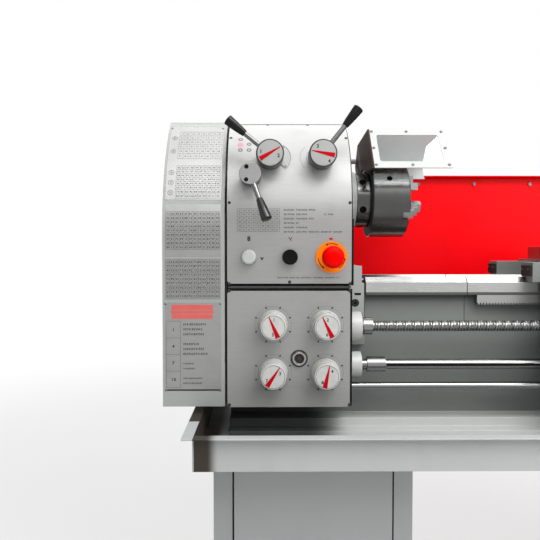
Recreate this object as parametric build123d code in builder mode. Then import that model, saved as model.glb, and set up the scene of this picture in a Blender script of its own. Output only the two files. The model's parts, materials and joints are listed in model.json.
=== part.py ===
from build123d import *
from math import acos, asin, atan2, cos, degrees, pi, radians, sin, sqrt, tan
import os

os.makedirs("parts", exist_ok=True)

# Screw-cutting lathe, millimetres. The origin is on the floor at the centre of the anchor bolts.
# X runs along the spindle towards the tailstock, Y to the back and Z up.

# Clearances.
SHAFT_FIT = 0.05
SLIDE_GAP = 0.3
SEAT_GAP = 0.2

# Bed and ways.
SPINDLE_HEIGHT = 1080.0
CENTRE_HEIGHT = 165.0
BED_LENGTH = 1546.0
BED_WIDTH = 187.0
BED_HEIGHT = 317.0
WAY_RISE = 10.0
WAY_DEPTH = 27.0
WAY_OVERHANG = 18.5
VEE_HALF = 11.0
VEE_CREST = 2.0
FRONT_VEE_INSET = 13.5
REAR_VEE_INSET = 38.5
CENTRE_SLOT = 84.0
BED_WALL = 20.0
BED_BAYS = 7
BED_RIB = 20.0
FOOT_WIDTH = 230.0
FOOT_HEIGHT = 32.0
FOOT_SLOPE = 2.0
FLANGE_WIDTH = 300.0
FLANGE_HEIGHT = 16.0
PAD_DROP = 127.0
SEAT_DROP = 12.0
GAP_START = 40.0
GAP_LENGTH = 212.0
GAP_DEPTH = 115.0
SEAM = 0.8
RACK_HEIGHT = 20.0
RACK_PITCH = 6.28
RACK_TEETH = 140

# Headstock and its front plate.
HEAD_LENGTH = 236.0
HEAD_REACH = 180.0
HEAD_REAR = 150.0
HEAD_RISE = 153.0
HEAD_WALL = 14.0
HEAD_LEFT_WALL = 16.0
HEAD_RIGHT_WALL = 24.0
HEAD_FOOT = 34.0
HEAD_FOOT_RISE = 35.0
LID_THICKNESS = 14.0
PLATE_THICKNESS = 5.0
PLATE_MARGIN = 3.5
PLATE_CORNER = 7.0
PLATE_RADIUS = 210.0
PLATE_BEND = 33.5
BEND_LIMIT = 66.0
PLATE_TOP_DROP = 3.0

# Controls on the headstock plate, measured from its left side and from the spindle.
LEFT_DIAL_X = 80.5
RIGHT_DIAL_X = 179.0
DIAL_RISE = 69.5
DIAL_RADIUS = 24.5
DIAL_LENGTH = 56.0
DIAL_STANDOFF = 42.0
DIAL_SHAFT = 9.0
DIAL_SHAFT_LENGTH = 70.0
DIAL_LEVER_BACK = 30.0
LEFT_DIAL_ANGLE = 141.0
RIGHT_DIAL_ANGLE = 51.8
LEFT_LEVER_REACH = 105.0
RIGHT_LEVER_REACH = 112.0
LEVER_ROD = 4.0
GRIP_LENGTH = 42.0
GRIP_NARROW = 5.8
GRIP_WIDE = 8.8
GRIP_TIP = 2.5
FEED_LEVER_X = 44.0
FEED_LEVER_RISE = 29.0
FEED_LEVER_ANGLE = -70.0
FEED_LEVER_REACH = 94.0
FEED_HUB_RADIUS = 20.0
FEED_HUB_STANDOFF = 60.0
FEED_HUB_GAP = 2.0
FEED_SHAFT_LENGTH = 50.0
FEED_LEVER_BACK = 18.0
FEED_LEVER_TILT = 0.3
SWITCH_DROP = 123.0
LAMP_X = 40.5
JOG_X = 118.5
STOP_X = 197.5
LAMP_RADIUS = 13.5
LAMP_LENGTH = 18.0
LAMP_RIM = 4.0
LAMP_STEP = 1.5
JOG_RADIUS = 14.5
JOG_LENGTH = 11.0
JOG_TRAVEL = 3.0
STOP_COLLAR_RADIUS = 30.0
STOP_COLLAR_LENGTH = 3.0
STOP_RADIUS = 20.5
STOP_HEIGHT = 36.0
STOP_HEAD = 15.0
STOP_NECK = 5.0
STOP_TRAVEL = 5.0
BUTTON_STEM = 8.0

# Gearbox under the headstock.
BOX_TOP_DROP = 19.0
BOX_HEIGHT = 225.0
BOX_WALL = 12.0
BOX_DEPTH = 60.0
KNOB_X = 86.5
KNOB_SPACING_X = 99.5
KNOB_TOP_DROP = 68.0
KNOB_SPACING_Z = 92.0
KNOB_BASE = 26.0
KNOB_FACE = 23.3
KNOB_LENGTH = 40.0
KNOB_RIM = 4.0
KNOB_EDGE = 1.5
KNOB_SHAFT = 6.0
GLASS_DROP = 132.5
GLASS_RADIUS = 15.0
GLASS_BORE = 9.5
GLASS_LENGTH = 7.0
GLASS_CHAMFER = 2.0
SCREW_RADIUS = 2.6
SCREW_HEAD = 1.6
SCREW_INSET = 3.2
CORNER_INSET = 3.2
SIDE_SCREW_TURNS = (3.7, 44.2)
TOP_SCREW_HALF = 41.0

# Spindle, bearings and chuck.
SPINDLE_BORE = 38.0
SPINDLE_RADIUS = 28.0
SPINDLE_TAIL = 60.0
FRONT_SEAT_RADIUS = 37.5
REAR_BEARING = 40.0
FRONT_BEARING = 55.0
BEARING_INSET = 2.0
BEARING_BOSS = 62.0
BOSS_LENGTH = 29.0
BOSS_BORE = 47.0
NOSE_NECK = 44.0
NOSE_RADIUS = 58.75
NOSE_GAP = 2.0
NOSE_LENGTH = 29.0
NOSE_SOCKET = 7.5
NOSE_SOCKETS = 6
NOSE_SOCKET_X = 11.6
NOSE_SOCKET_DEPTH = 12.0
NOSE_SOCKET_TURN = 36.0
NOSE_PILOT = 31.7
PILOT_LENGTH = 11.0
PILOT_TAPER = 1.4
CHUCK_RADIUS = 80.0
CHUCK_LENGTH = 78.0
CHUCK_BORE = 21.0
CHUCK_CHAMFER = 2.0
CHUCK_KEY = 6.0
CHUCK_KEY_DEPTH = 18.0
CHUCK_KEY_X = 35.1
JAW_WIDTH = 19.4
JAW_INNER = 22.0
JAW_OUTER = 68.0
JAW_DEPTH = 14.0
JAW_RISE = 32.0
JAW_STEP = 16.0
JAW_COUNT = 3

# Chuck guard.
GUARD_START = 50.0
GUARD_LENGTH = 160.0
GUARD_SHEET = 3.0
GUARD_NOTCH = 68.0
GUARD_FRONT = 128.0
GUARD_FRONT_RISE = 54.0
GUARD_TOP_FRONT = 60.0
GUARD_TOP_RISE = 144.0
GUARD_TOP_REAR = 73.0
GUARD_REAR_RISE = 134.0
GUARD_BACK = 108.0
GUARD_BACK_RISE = 90.0
GUARD_HEEL = 88.0
GUARD_HEEL_RISE = 58.0
GUARD_LIP = 10.0
GUARD_HEEL_LIP = 4.0
GUARD_MOUTH = 12.0
GUARD_PIVOT_Y = 93.0
GUARD_PIVOT_RISE = 100.0
GUARD_PIN = 6.0
GUARD_BOSS = 12.0
GUARD_BOSS_LENGTH = 27.0
WINDOW_MARGIN = 16.0
WINDOW_CORNER = 6.0
PANE_THICKNESS = 2.0

# Gear cover and its hinge.
COVER_GAP = 4.0
COVER_WIDTH = 120.0
COVER_WALL = 3.0
COVER_REAR = 252.0
COVER_RADIUS = 310.0
COVER_BEND_DROP = 84.0
COVER_RISE = 155.0
COVER_BAR_HOLE = 30.0
HINGE_X = 3.0
HINGE_Y = 262.0
HINGE_RADIUS = 8.0
HINGE_PIN = 4.0
HINGE_LENGTH = 30.0
HINGE_LEVELS = (-150.0, 90.0)
HINGE_LEAF = 8.0
COVER_LEAF = 20.0

# Drive and change gears.
PRESSURE_ANGLE = 20.0
DRIVE_MODULE = 2.0
SPINDLE_TEETH = 71
PINION_TEETH = 35
DRIVE_FACE = 26.0
DRIVE_GEAR_X = 80.0
INPUT_BACK = 80.0
INPUT_SHAFT = 15.0
INPUT_PULLEY = 70.0
PULLEY_WIDTH = 40.0
PULLEY_X = 55.0
MOTOR_PULLEY = 36.0
MOTOR_Y = 182.0
MOTOR_DROP = 310.0
MOTOR_RADIUS = 75.0
MOTOR_X = 25.0
MOTOR_LENGTH = 255.0
MOTOR_SHAFT = 9.5
MOTOR_PAD = 26.0
MOTOR_FOOT = 140.0
MOTOR_FOOT_X = 40.0
MOTOR_EDGE = 8.0
MOTOR_SOCKET = 50.0
TERMINAL_LENGTH = 110.0
TERMINAL_HALF = 45.0
TERMINAL_RISE = 30.0
BELT_THICKNESS = 9.0
BELT_WIDTH = 12.0
BELT_SPACING = 18.0
BELT_DEPTH = 8.0
CHANGE_MODULE = 1.25
STUD_TEETH = 32
IDLER_TEETH = 84
BOX_TEETH = 64
CHANGE_FACE = 16.0
CHANGE_X = 24.0
STUD_Y = -90.0
STUD_DROP = 120.0
CHANGE_LEAN = 40.0
CHANGE_SHAFT = 12.0
SHAFT_OVERHANG = 6.0
IDLER_PIN = 9.0
QUADRANT_PLATE = 9.0
QUADRANT_WIDTH = 34.0
QUADRANT_RING = 12.0
QUADRANT_GAP = 4.0
BOX_BOSS = 22.0
BOX_BOSS_LENGTH = 20.0

# Rods in front of the bed.
ROD_Y = -135.0
SCREW_DROP = 260.0
FEED_DROP = 336.0
CONTROL_DROP = 380.0
LEADSCREW_RADIUS = 11.0
LEADSCREW_SLEEVE = 17.0
FEED_ROD_RADIUS = 10.0
FEED_SLEEVE = 15.0
CONTROL_RADIUS = 8.0
SCREW_FLANGE = 28.5
FEED_FLANGE = 25.0
FLANGE_LENGTH = 25.0
SLEEVE_GAP = 4.0
SLEEVE_LENGTH = 18.0
FEED_SLEEVE_START = 8.0
FEED_SLEEVE_LENGTH = 36.0
ROD_END_INSET = 6.0
ROD_BRACKET_X = 45.0
ROD_BRACKET_WIDTH = 36.0
ROD_BRACKET_REACH = 30.0

# Carriage.
CARRIAGE_X = 0.0
SADDLE_LENGTH = 320.0
SADDLE_WING = 19.5
SADDLE_RISE = 35.0
BRIDGE_HALF = 75.0
BRIDGE_FRONT = 204.0
BRIDGE_REAR = 150.0
BRIDGE_LIFT = 2.0
DOVETAIL_RISE = 10.0
DOVETAIL_ROOT = 76.0
DOVETAIL_TOP = 88.0
CROSS_SCREW = 6.0
CROSS_SCREW_LIFT = 13.0
CROSS_NUT = 28.0
CROSS_NUT_LENGTH = 40.0
CROSS_NUT_SIDE = 2.0
SCREW_BOSS = 60.0
SLOT_END = 40.0
SCREW_TAIL = 20.0
SLOT_FLOOR = 3.0
APRON_HALF = 130.0
APRON_FRONT = 200.0
APRON_BACK = 114.0
APRON_DROP = 410.0
APRON_WALL = 12.0
APRON_CORNER = 8.0
ROD_HOLE = 2.0
WHEEL_OFFSET = 72.0
WHEEL_DROP = 308.0
WHEEL_RADIUS = 70.0
WHEEL_RIM = 9.0
WHEEL_STANDOFF = 32.0
WHEEL_SHAFT = 10.0
WHEEL_SPOKES = 3
WHEEL_SHAFT_END = 6.0
HANDLE_LENGTH = 62.0
HANDLE_RADIUS = 9.5
LEVER_BAR = 6.0
NUT_LEVER_OFFSET = 75.0
NUT_LEVER_DROP = 280.0
NUT_LEVER_REACH = 95.0
NUT_LEVER_HUB = 18.0
NUT_LEVER_HUB_LENGTH = 26.0
NUT_LEVER_LEAN = 20.0
NUT_BALL = 13.0
NUT_BALL_LENGTH = 28.0
START_COLLAR = 16.0
START_LENGTH = 26.0
START_REACH = 95.0
START_BALL = 15.0

# Cross slide, compound and tool post.
CROSS_HALF = 60.0
CROSS_FRONT = 170.0
CROSS_REAR = 130.0
CROSS_HEIGHT = 28.0
CRANK_DIAL = 20.0
CRANK_REACH = 46.0
CRANK_HANDLE = 8.0
CRANK_HANDLE_LENGTH = 48.0
CRANK_DIAL_LENGTH = 22.0
CRANK_HUB = 13.0
CRANK_HUB_LENGTH = 14.0
CRANK_BALL = 9.0
CROSS_CRANK_OUT = 48.0
TOP_CRANK_OUT = 30.0
COMPOUND_Y = -80.0
SWIVEL_RADIUS = 52.0
SWIVEL_HEIGHT = 12.0
COMPOUND_HALF = 36.0
COMPOUND_REACH = 85.0
COMPOUND_HEIGHT = 18.0
TOP_DOVETAIL_ROOT = 52.0
TOP_DOVETAIL_TOP = 62.0
TOP_SLIDE_HEIGHT = 32.0
TOP_SLIDE_LEFT = 105.0
TOP_SLIDE_RIGHT = 65.0
TOP_SCREW = 6.0
TOP_SCREW_LIFT = 19.0
TOP_SCREW_LENGTH = 140.0
TOP_SLIDE_NOSE = 20.0
TOP_DIAL = 17.0
TOP_BRACKET = 12.0
POST_SIZE = 74.0
POST_BASE = 12.0
POST_SLOT = 26.0
POST_CAP = 26.0
POST_CORE = 36.0
POST_OFFSET = -45.0
POST_STUD = 10.0
POST_STUD_RISE = 8.0
POST_CORNER = 6.0
POST_BOLT = 4.5
POST_BOLT_INSET = 9.0
POST_BOLT_SPREAD = 18.0
POST_BOLT_RISE = 10.0
POST_LEVER_HUB = 17.0
POST_LEVER_REACH = 110.0
POST_LEVER_HEIGHT = 28.0
POST_LEVER_SOCKET = 12.0
POST_LEVER_BALL = 14.0

# Tailstock.
TAIL_INSET = 153.0
TAIL_LENGTH = 200.0
TAIL_BASE_HEIGHT = 45.0
TAIL_BASE_HALF = 85.0
TAIL_KEEL = 13.0
TAIL_BARREL = 44.0
TAIL_BARREL_LENGTH = 230.0
TAIL_NECK = 40.0
TAIL_WAIST_INSET = 12.0
TAIL_WAIST_SHOULDER = 14.0
TAIL_WAIST_RISE = 40.0
TAIL_END_WALL = 20.0
QUILL_RADIUS = 24.0
QUILL_LENGTH = 215.0
QUILL_OUT = 30.0
CENTRE_LENGTH = 72.0
CENTRE_RADIUS = 12.0
CENTRE_POINT = 20.0
TAIL_SCREW = 9.0
TAIL_SCREW_LENGTH = 130.0
TAIL_WHEEL_RADIUS = 70.0
TAIL_WHEEL_STANDOFF = 26.0
LOCK_PIN = 6.0
LOCK_OFFSET = 70.0
LOCK_REACH = 70.0
LOCK_BALL = 11.0
LOCK_BAR = 5.0
LOCK_HUB = 13.0

# Chip tray, stands and splash guard.
TRAY_LENGTH = 1644.0
TRAY_FRONT = 310.0
TRAY_REAR = 250.0
TRAY_SHEET = 3.0
TRAY_DEPTH = 58.6
TRAY_LIP = 20.0
STAND_START = 420.0
STAND_WIDTH = 380.0
STAND_DEPTH = 380.0
STAND_SHEET = 4.0
STAND_FLANGE = 8.0
STAND_FLANGE_WIDTH = 70.0
ANCHOR_SPACING_X = 1520.0
ANCHOR_SPACING_Y = 300.0
ANCHOR_RADIUS = 9.0
SPLASH_START = 62.0
SPLASH_END = 760.0
SPLASH_SHEET = 3.0
SPLASH_TOP_RISE = 85.0
SPLASH_LAP = 36.0
SPLASH_HEM = 20.0

# Heights and places that follow from the values above.
bed_top = SPINDLE_HEIGHT - CENTRE_HEIGHT
way_flat = bed_top - WAY_RISE
way_under = way_flat - WAY_DEPTH
bed_floor = bed_top - BED_HEIGHT
bed_left = -BED_LENGTH / 2
bed_right = BED_LENGTH / 2
bed_half = BED_WIDTH / 2
wall_face = bed_half - WAY_OVERHANG
front_vee = -bed_half + FRONT_VEE_INSET
rear_vee = bed_half - REAR_VEE_INSET
slot_half = CENTRE_SLOT / 2
head_left = bed_left
head_right = head_left + HEAD_LENGTH
head_seat = bed_top - SEAT_DROP
panel_y = -HEAD_REACH
casting_y = panel_y + PLATE_THICKNESS
bend_z = SPINDLE_HEIGHT - PLATE_BEND
lid_top = SPINDLE_HEIGHT + HEAD_RISE
casting_top = lid_top - LID_THICKNESS
box_top = bed_top - BOX_TOP_DROP
box_floor = box_top - BOX_HEIGHT
gap_left = head_right + GAP_START
gap_right = gap_left + GAP_LENGTH
gap_floor = bed_top - GAP_DEPTH
spindle_axis = (0.0, 0.0, SPINDLE_HEIGHT)
nose_left = head_right + BOSS_LENGTH + NOSE_GAP
nose_right = nose_left + NOSE_LENGTH
chuck_right = nose_right + CHUCK_LENGTH
cover_right = head_left - COVER_GAP
cover_left = cover_right - COVER_WIDTH
screw_z = SPINDLE_HEIGHT - SCREW_DROP
feed_z = SPINDLE_HEIGHT - FEED_DROP
control_z = SPINDLE_HEIGHT - CONTROL_DROP
bracket_right = bed_right - ROD_BRACKET_X + ROD_BRACKET_WIDTH
bracket_left = bed_right - ROD_BRACKET_X
saddle_top = way_flat + SLIDE_GAP + SADDLE_RISE + WAY_RISE
bridge_floor = bed_top + BRIDGE_LIFT
cross_screw_z = bridge_floor + CROSS_SCREW_LIFT
cross_floor = saddle_top + SLIDE_GAP
cross_top = cross_floor + CROSS_HEIGHT
swivel_floor = cross_top + SLIDE_GAP
compound_floor = swivel_floor + SWIVEL_HEIGHT
compound_top = compound_floor + COMPOUND_HEIGHT
top_slide_floor = compound_top + SLIDE_GAP
top_slide_top = top_slide_floor + TOP_SLIDE_HEIGHT
top_screw_z = compound_top + TOP_SCREW_LIFT
post_floor = top_slide_top + SLIDE_GAP
post_top = post_floor + POST_BASE + POST_SLOT + POST_CAP
tray_floor = bed_floor - TRAY_SHEET
tray_rim = bed_floor + TRAY_DEPTH
rods = ((LEADSCREW_RADIUS, screw_z), (FEED_ROD_RADIUS, feed_z), (CONTROL_RADIUS, control_z))


def rod(start, direction, radius, length, mode=Mode.ADD):
    """A round bar or hole from a start point along a direction."""
    with BuildSketch(Plane(origin=start, z_dir=direction)) as disc:
        Circle(radius)
    extrude(disc.sketch, amount=length, mode=mode)


def block(x, y, z, mode=Mode.ADD):
    """A block between two X, two Y and two Z values."""
    with BuildSketch(Plane.XY.offset(z[0])) as base:
        with Locations(((x[0] + x[1]) / 2, (y[0] + y[1]) / 2)):
            Rectangle(x[1] - x[0], y[1] - y[0])
    extrude(base.sketch, amount=z[1] - z[0], mode=mode)


def section(points, x, mode=Mode.ADD):
    """A Y-Z outline drawn out between two X values."""
    with BuildSketch(Plane.YZ.offset(x[0])) as outline:
        Polygon(*points, align=None)
    extrude(outline.sketch, amount=x[1] - x[0], mode=mode)


def profile(points, y, mode=Mode.ADD):
    """An X-Z outline drawn out between two Y values."""
    with BuildSketch(Plane.XZ.offset(-y[0])) as outline:
        Polygon(*points, align=None)
    extrude(outline.sketch, amount=y[0] - y[1], mode=mode)


def turned(points, origin, direction, mode=Mode.ADD):
    """A turned form from distances along an axis and radii."""
    along = Vector(*direction)
    across = Vector(1, 0, 0) if abs(along.X) < 0.5 else Vector(0, -1, 0)
    across = along.cross(across).normalized()
    with BuildSketch(Plane(origin=origin, x_dir=direction, z_dir=across)) as half:
        Polygon(*points, align=None)
    revolve(half.sketch, axis=Axis(origin, direction), mode=mode)


def lean_back(radius, rise):
    """How far back a bent sheet has gone at a rise above its bend, and its lean there in radians."""
    limit = radians(BEND_LIMIT)
    if rise <= radius * sin(limit):
        lean = asin(rise / radius)
        return radius * (1 - cos(lean)), lean
    straight = rise - radius * sin(limit)
    return radius * (1 - cos(limit)) + straight * tan(limit), limit


def arched(front, radius, bend, top, rear, floor, x, mode=Mode.ADD):
    """A body with an upright front that bends back along an arc and then leans back to a flat top."""
    back, lean = lean_back(radius, top - bend)
    middle = (front + radius * (1 - cos(lean / 2)), bend + radius * sin(lean / 2))
    arc_end = (front + radius * (1 - cos(lean)), bend + radius * sin(lean))
    corners = [arc_end, (rear, top), (rear, floor), (front, floor), (front, bend)]
    if top - arc_end[1] > SHAFT_FIT:
        corners.insert(1, (front + back, top))
    with BuildSketch(Plane.YZ.offset(x[0])) as outline:
        with BuildLine():
            ThreePointArc((front, bend), middle, arc_end)
            Polyline(*corners)
        make_face()
    extrude(outline.sketch, amount=x[1] - x[0], mode=mode)


def gear(teeth, module, phase, centre, x, bore):
    """A spur gear on an X axis with one tooth centred on the phase angle."""
    pitch = teeth * module / 2
    root = pitch - 1.3 * module
    tip = pitch + 0.92 * module
    base = pitch * cos(radians(PRESSURE_ANGLE))
    involute = tan(radians(PRESSURE_ANGLE)) - radians(PRESSURE_ANGLE)
    half_tooth = pi / (2 * teeth) - 0.06 * module / pitch + involute
    half_angles = []
    for radius in (root, pitch, tip):
        lean = acos(min(1.0, base / radius))
        half_angles.append((radius, half_tooth - tan(lean) + lean))
    points = []
    for tooth in range(teeth):
        middle = radians(phase) + 2 * pi * tooth / teeth
        for radius, half in half_angles:
            points.append((radius * cos(middle - half), radius * sin(middle - half)))
        for radius, half in reversed(half_angles):
            points.append((radius * cos(middle + half), radius * sin(middle + half)))
    gear_plane = Plane(origin=(x[0], *centre), x_dir=(0, 1, 0), z_dir=(1, 0, 0))
    with BuildSketch(gear_plane) as teeth_face:
        Polygon(*points, align=None)
        Circle(bore, mode=Mode.SUBTRACT)
    extrude(teeth_face.sketch, amount=x[1] - x[0])


def finish(piece, name):
    """Labels a finished piece and writes it."""
    piece.part.label = name
    export_step(piece.part, f"parts/{name}.step")


# Stands: two folded cabinets with an anchor flange inside the bottom edge.
with BuildPart() as cabinet_stands:
    for side in (-1, 1):
        near = side * STAND_START
        far = side * (STAND_START + STAND_WIDTH)
        outer_x = (min(near, far), max(near, far))
        inner_x = (outer_x[0] + STAND_SHEET, outer_x[1] - STAND_SHEET)
        outer_y = (-STAND_DEPTH / 2, STAND_DEPTH / 2)
        inner_y = (outer_y[0] + STAND_SHEET, outer_y[1] - STAND_SHEET)
        block(outer_x, outer_y, (0, tray_floor))
        block(inner_x, inner_y, (STAND_FLANGE, tray_floor - STAND_SHEET), Mode.SUBTRACT)
        opening_x = (outer_x[0] + STAND_FLANGE_WIDTH, outer_x[1] - STAND_FLANGE_WIDTH)
        opening_y = (outer_y[0] + STAND_FLANGE_WIDTH, outer_y[1] - STAND_FLANGE_WIDTH)
        block(opening_x, opening_y, (0, STAND_FLANGE), Mode.SUBTRACT)
        for corner in (-1, 1):
            anchor = (side * ANCHOR_SPACING_X / 2, corner * ANCHOR_SPACING_Y / 2, 0)
            rod(anchor, (0, 0, 1), ANCHOR_RADIUS, STAND_FLANGE, Mode.SUBTRACT)
finish(cabinet_stands, "cabinet_stands")

# Chip tray: floor, four walls and a lip turned outwards.
with BuildPart() as chip_tray:
    tray_x = (-TRAY_LENGTH / 2, TRAY_LENGTH / 2)
    tray_y = (-TRAY_FRONT, TRAY_REAR)
    lip_x = (tray_x[0] - TRAY_LIP, tray_x[1] + TRAY_LIP)
    lip_y = (tray_y[0] - TRAY_LIP, tray_y[1] + TRAY_LIP)
    wall_x = (tray_x[0] - TRAY_SHEET, tray_x[1] + TRAY_SHEET)
    wall_y = (tray_y[0] - TRAY_SHEET, tray_y[1] + TRAY_SHEET)
    block(wall_x, wall_y, (tray_floor, tray_rim))
    block(lip_x, lip_y, (tray_rim - TRAY_SHEET, tray_rim))
    block(tray_x, tray_y, (bed_floor, tray_rim), Mode.SUBTRACT)
finish(chip_tray, "chip_tray")

# Bed: two walls with a vee and a flat on each way, joined by ribs.
way_outline = [
    (wall_face, way_under),
    (bed_half, way_under),
    (bed_half, way_flat),
    (rear_vee + VEE_HALF, way_flat),
    (rear_vee + VEE_CREST, bed_top),
    (rear_vee - VEE_CREST, bed_top),
    (rear_vee - VEE_HALF, way_flat),
    (front_vee + VEE_HALF, way_flat),
    (front_vee + VEE_CREST, bed_top),
    (front_vee - VEE_CREST, bed_top),
    (front_vee - VEE_HALF, way_flat),
    (-bed_half, way_flat),
    (-bed_half, way_under),
    (-wall_face, way_under),
]
foot_half = FOOT_WIDTH / 2
foot_top = bed_floor + FOOT_HEIGHT
flange_half = FLANGE_WIDTH / 2
flange_top = bed_floor + FLANGE_HEIGHT
bed_outline = [
    (-flange_half, bed_floor),
    (flange_half, bed_floor),
    (flange_half, flange_top),
    (foot_half, flange_top),
    (foot_half, foot_top),
    (wall_face, foot_top + FOOT_SLOPE),
    *way_outline,
    (-wall_face, foot_top + FOOT_SLOPE),
    (-foot_half, foot_top),
    (-foot_half, flange_top),
    (-flange_half, flange_top),
]
motor_z = SPINDLE_HEIGHT - MOTOR_DROP
motor_left = head_left + MOTOR_X
motor_foot_x = (motor_left + MOTOR_FOOT_X, motor_left + MOTOR_FOOT_X + MOTOR_FOOT)
motor_foot_z = (motor_z - MOTOR_FOOT / 2, motor_z + MOTOR_FOOT / 2)
motor_pad_y = wall_face + MOTOR_PAD
with BuildPart() as bed:
    section(bed_outline, (bed_left, bed_right))
    block((head_left, head_right), (-bed_half, -wall_face), (box_floor, head_seat))
    block((head_right, gap_left), (-bed_half, -wall_face), (head_seat - PAD_DROP, head_seat))
    block(motor_foot_x, (wall_face, motor_pad_y), motor_foot_z)
    bay = (BED_LENGTH - (BED_BAYS + 1) * BED_RIB) / BED_BAYS
    inner_half = wall_face - BED_WALL
    for number in range(BED_BAYS):
        start = bed_left + BED_RIB + number * (bay + BED_RIB)
        bay_x = (start, start + bay)
        block(bay_x, (-slot_half, slot_half), (bed_floor, bed_top), Mode.SUBTRACT)
        block(bay_x, (-inner_half, inner_half), (bed_floor, way_under - BED_WALL), Mode.SUBTRACT)
    block((head_right, bed_right), (-slot_half, slot_half), (way_under, bed_top), Mode.SUBTRACT)
    block((head_left, gap_left), (-bed_half, bed_half), (head_seat, bed_top), Mode.SUBTRACT)
    block((gap_left, gap_right), (-bed_half, bed_half), (gap_floor, bed_top), Mode.SUBTRACT)
finish(bed, "bed")

# Gap bridge: the removable length of way in front of the chuck.
with BuildPart() as gap_bridge:
    bridge_x = (gap_left + SEAM, gap_right - SEAM)
    section([(-wall_face, gap_floor), (wall_face, gap_floor), *way_outline], bridge_x)
    block(bridge_x, (-slot_half, slot_half), (gap_floor + BED_WALL, bed_top), Mode.SUBTRACT)
finish(gap_bridge, "gap_bridge")

# Rack under the front way.
rack_left = gap_right + BED_RIB
rack_floor = way_under - RACK_HEIGHT
rack_points = [(rack_left, way_under)]
for tooth in range(RACK_TEETH):
    root_x = rack_left + tooth * RACK_PITCH
    rack_points.append((root_x, rack_floor + RACK_PITCH * 0.7))
    rack_points.append((root_x + RACK_PITCH * 0.25, rack_floor + RACK_PITCH * 0.7))
    rack_points.append((root_x + RACK_PITCH * 0.47, rack_floor))
    rack_points.append((root_x + RACK_PITCH * 0.78, rack_floor))
rack_points.append((rack_left + RACK_TEETH * RACK_PITCH, rack_floor + RACK_PITCH * 0.7))
rack_points.append((rack_left + RACK_TEETH * RACK_PITCH, way_under))
with BuildPart() as rack:
    profile(rack_points, (-bed_half, -wall_face))
finish(rack, "rack")

# Headstock casting: a hollow box with bearing bores, an open top and two hinge lugs.
left_dial = (head_left + LEFT_DIAL_X, panel_y, SPINDLE_HEIGHT + DIAL_RISE)
right_dial = (head_left + RIGHT_DIAL_X, panel_y, SPINDLE_HEIGHT + DIAL_RISE)
feed_lever = (head_left + FEED_LEVER_X, panel_y, SPINDLE_HEIGHT + FEED_LEVER_RISE)
switch_z = SPINDLE_HEIGHT - SWITCH_DROP
lamp = (head_left + LAMP_X, panel_y, switch_z)
jog = (head_left + JOG_X, panel_y, switch_z)
stop = (head_left + STOP_X, panel_y, switch_z)
input_distance = DRIVE_MODULE * (SPINDLE_TEETH + PINION_TEETH) / 2
input_drop = sqrt(input_distance**2 - INPUT_BACK**2)
input_z = SPINDLE_HEIGHT - input_drop
stud_z = SPINDLE_HEIGHT - STUD_DROP
hinge = (head_left + HINGE_X, HINGE_Y)
pivot_z = SPINDLE_HEIGHT + GUARD_PIVOT_RISE
with BuildPart() as headstock_housing:
    arched(casting_y, PLATE_RADIUS - PLATE_THICKNESS, bend_z, casting_top, HEAD_REAR, head_seat,
           (head_left, head_right))
    inner_radius = PLATE_RADIUS - PLATE_THICKNESS - HEAD_WALL
    inner_x = (head_left + HEAD_LEFT_WALL, head_right - HEAD_RIGHT_WALL)
    arched(casting_y + HEAD_WALL, inner_radius, bend_z, casting_top - HEAD_WALL, HEAD_REAR - HEAD_WALL,
           head_seat + HEAD_WALL, inner_x, Mode.SUBTRACT)
    opening_y = (-HEAD_REACH / 4, HEAD_REAR - 2 * HEAD_WALL)
    block(inner_x, opening_y, (casting_top - 2 * HEAD_WALL, casting_top), Mode.SUBTRACT)
    foot_x = (head_right, head_right + HEAD_FOOT)
    block(foot_x, (-bed_half, bed_half), (head_seat, head_seat + HEAD_FOOT_RISE))
    rod((head_right, 0, SPINDLE_HEIGHT), (1, 0, 0), BEARING_BOSS, BOSS_LENGTH)
    rod((head_right, GUARD_PIVOT_Y, pivot_z), (1, 0, 0), GUARD_BOSS, GUARD_BOSS_LENGTH)
    rod((head_left, 0, SPINDLE_HEIGHT), (1, 0, 0), REAR_BEARING, HEAD_LEFT_WALL, Mode.SUBTRACT)
    rod((inner_x[1], 0, SPINDLE_HEIGHT), (1, 0, 0), FRONT_BEARING, HEAD_RIGHT_WALL, Mode.SUBTRACT)
    rod((head_right, 0, SPINDLE_HEIGHT), (1, 0, 0), BOSS_BORE, BOSS_LENGTH, Mode.SUBTRACT)
    pivot_bore = (head_right + SEAM, GUARD_PIVOT_Y, pivot_z)
    rod(pivot_bore, (1, 0, 0), GUARD_PIN + SHAFT_FIT, GUARD_BOSS_LENGTH, Mode.SUBTRACT)
    input_hole = INPUT_SHAFT + SHAFT_FIT
    input_end = inner_x[1] + HEAD_RIGHT_WALL / 2
    rod((head_left, INPUT_BACK, input_z), (1, 0, 0), input_hole, input_end - head_left, Mode.SUBTRACT)
    rod((head_left, STUD_Y, stud_z), (1, 0, 0), CHANGE_SHAFT + SHAFT_FIT, HEAD_LEFT_WALL, Mode.SUBTRACT)
    for place in (left_dial, right_dial, feed_lever):
        rod(place, (0, 1, 0), DIAL_SHAFT + SHAFT_FIT, HEAD_REACH / 2, Mode.SUBTRACT)
    for place in (jog, stop):
        rod(place, (0, 1, 0), BUTTON_STEM + SLIDE_GAP, HEAD_WALL * 2, Mode.SUBTRACT)
    for level in HINGE_LEVELS:
        lug_z = (SPINDLE_HEIGHT + level, SPINDLE_HEIGHT + level + HINGE_LENGTH)
        block((head_left, head_left + HINGE_LEAF), (HEAD_REAR, HINGE_Y), lug_z)
        rod((*hinge, lug_z[0]), (0, 0, 1), HINGE_RADIUS, HINGE_LENGTH)
        rod((*hinge, lug_z[0]), (0, 0, 1), HINGE_PIN + SHAFT_FIT, HINGE_LENGTH, Mode.SUBTRACT)
finish(headstock_housing, "headstock_housing")


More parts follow.
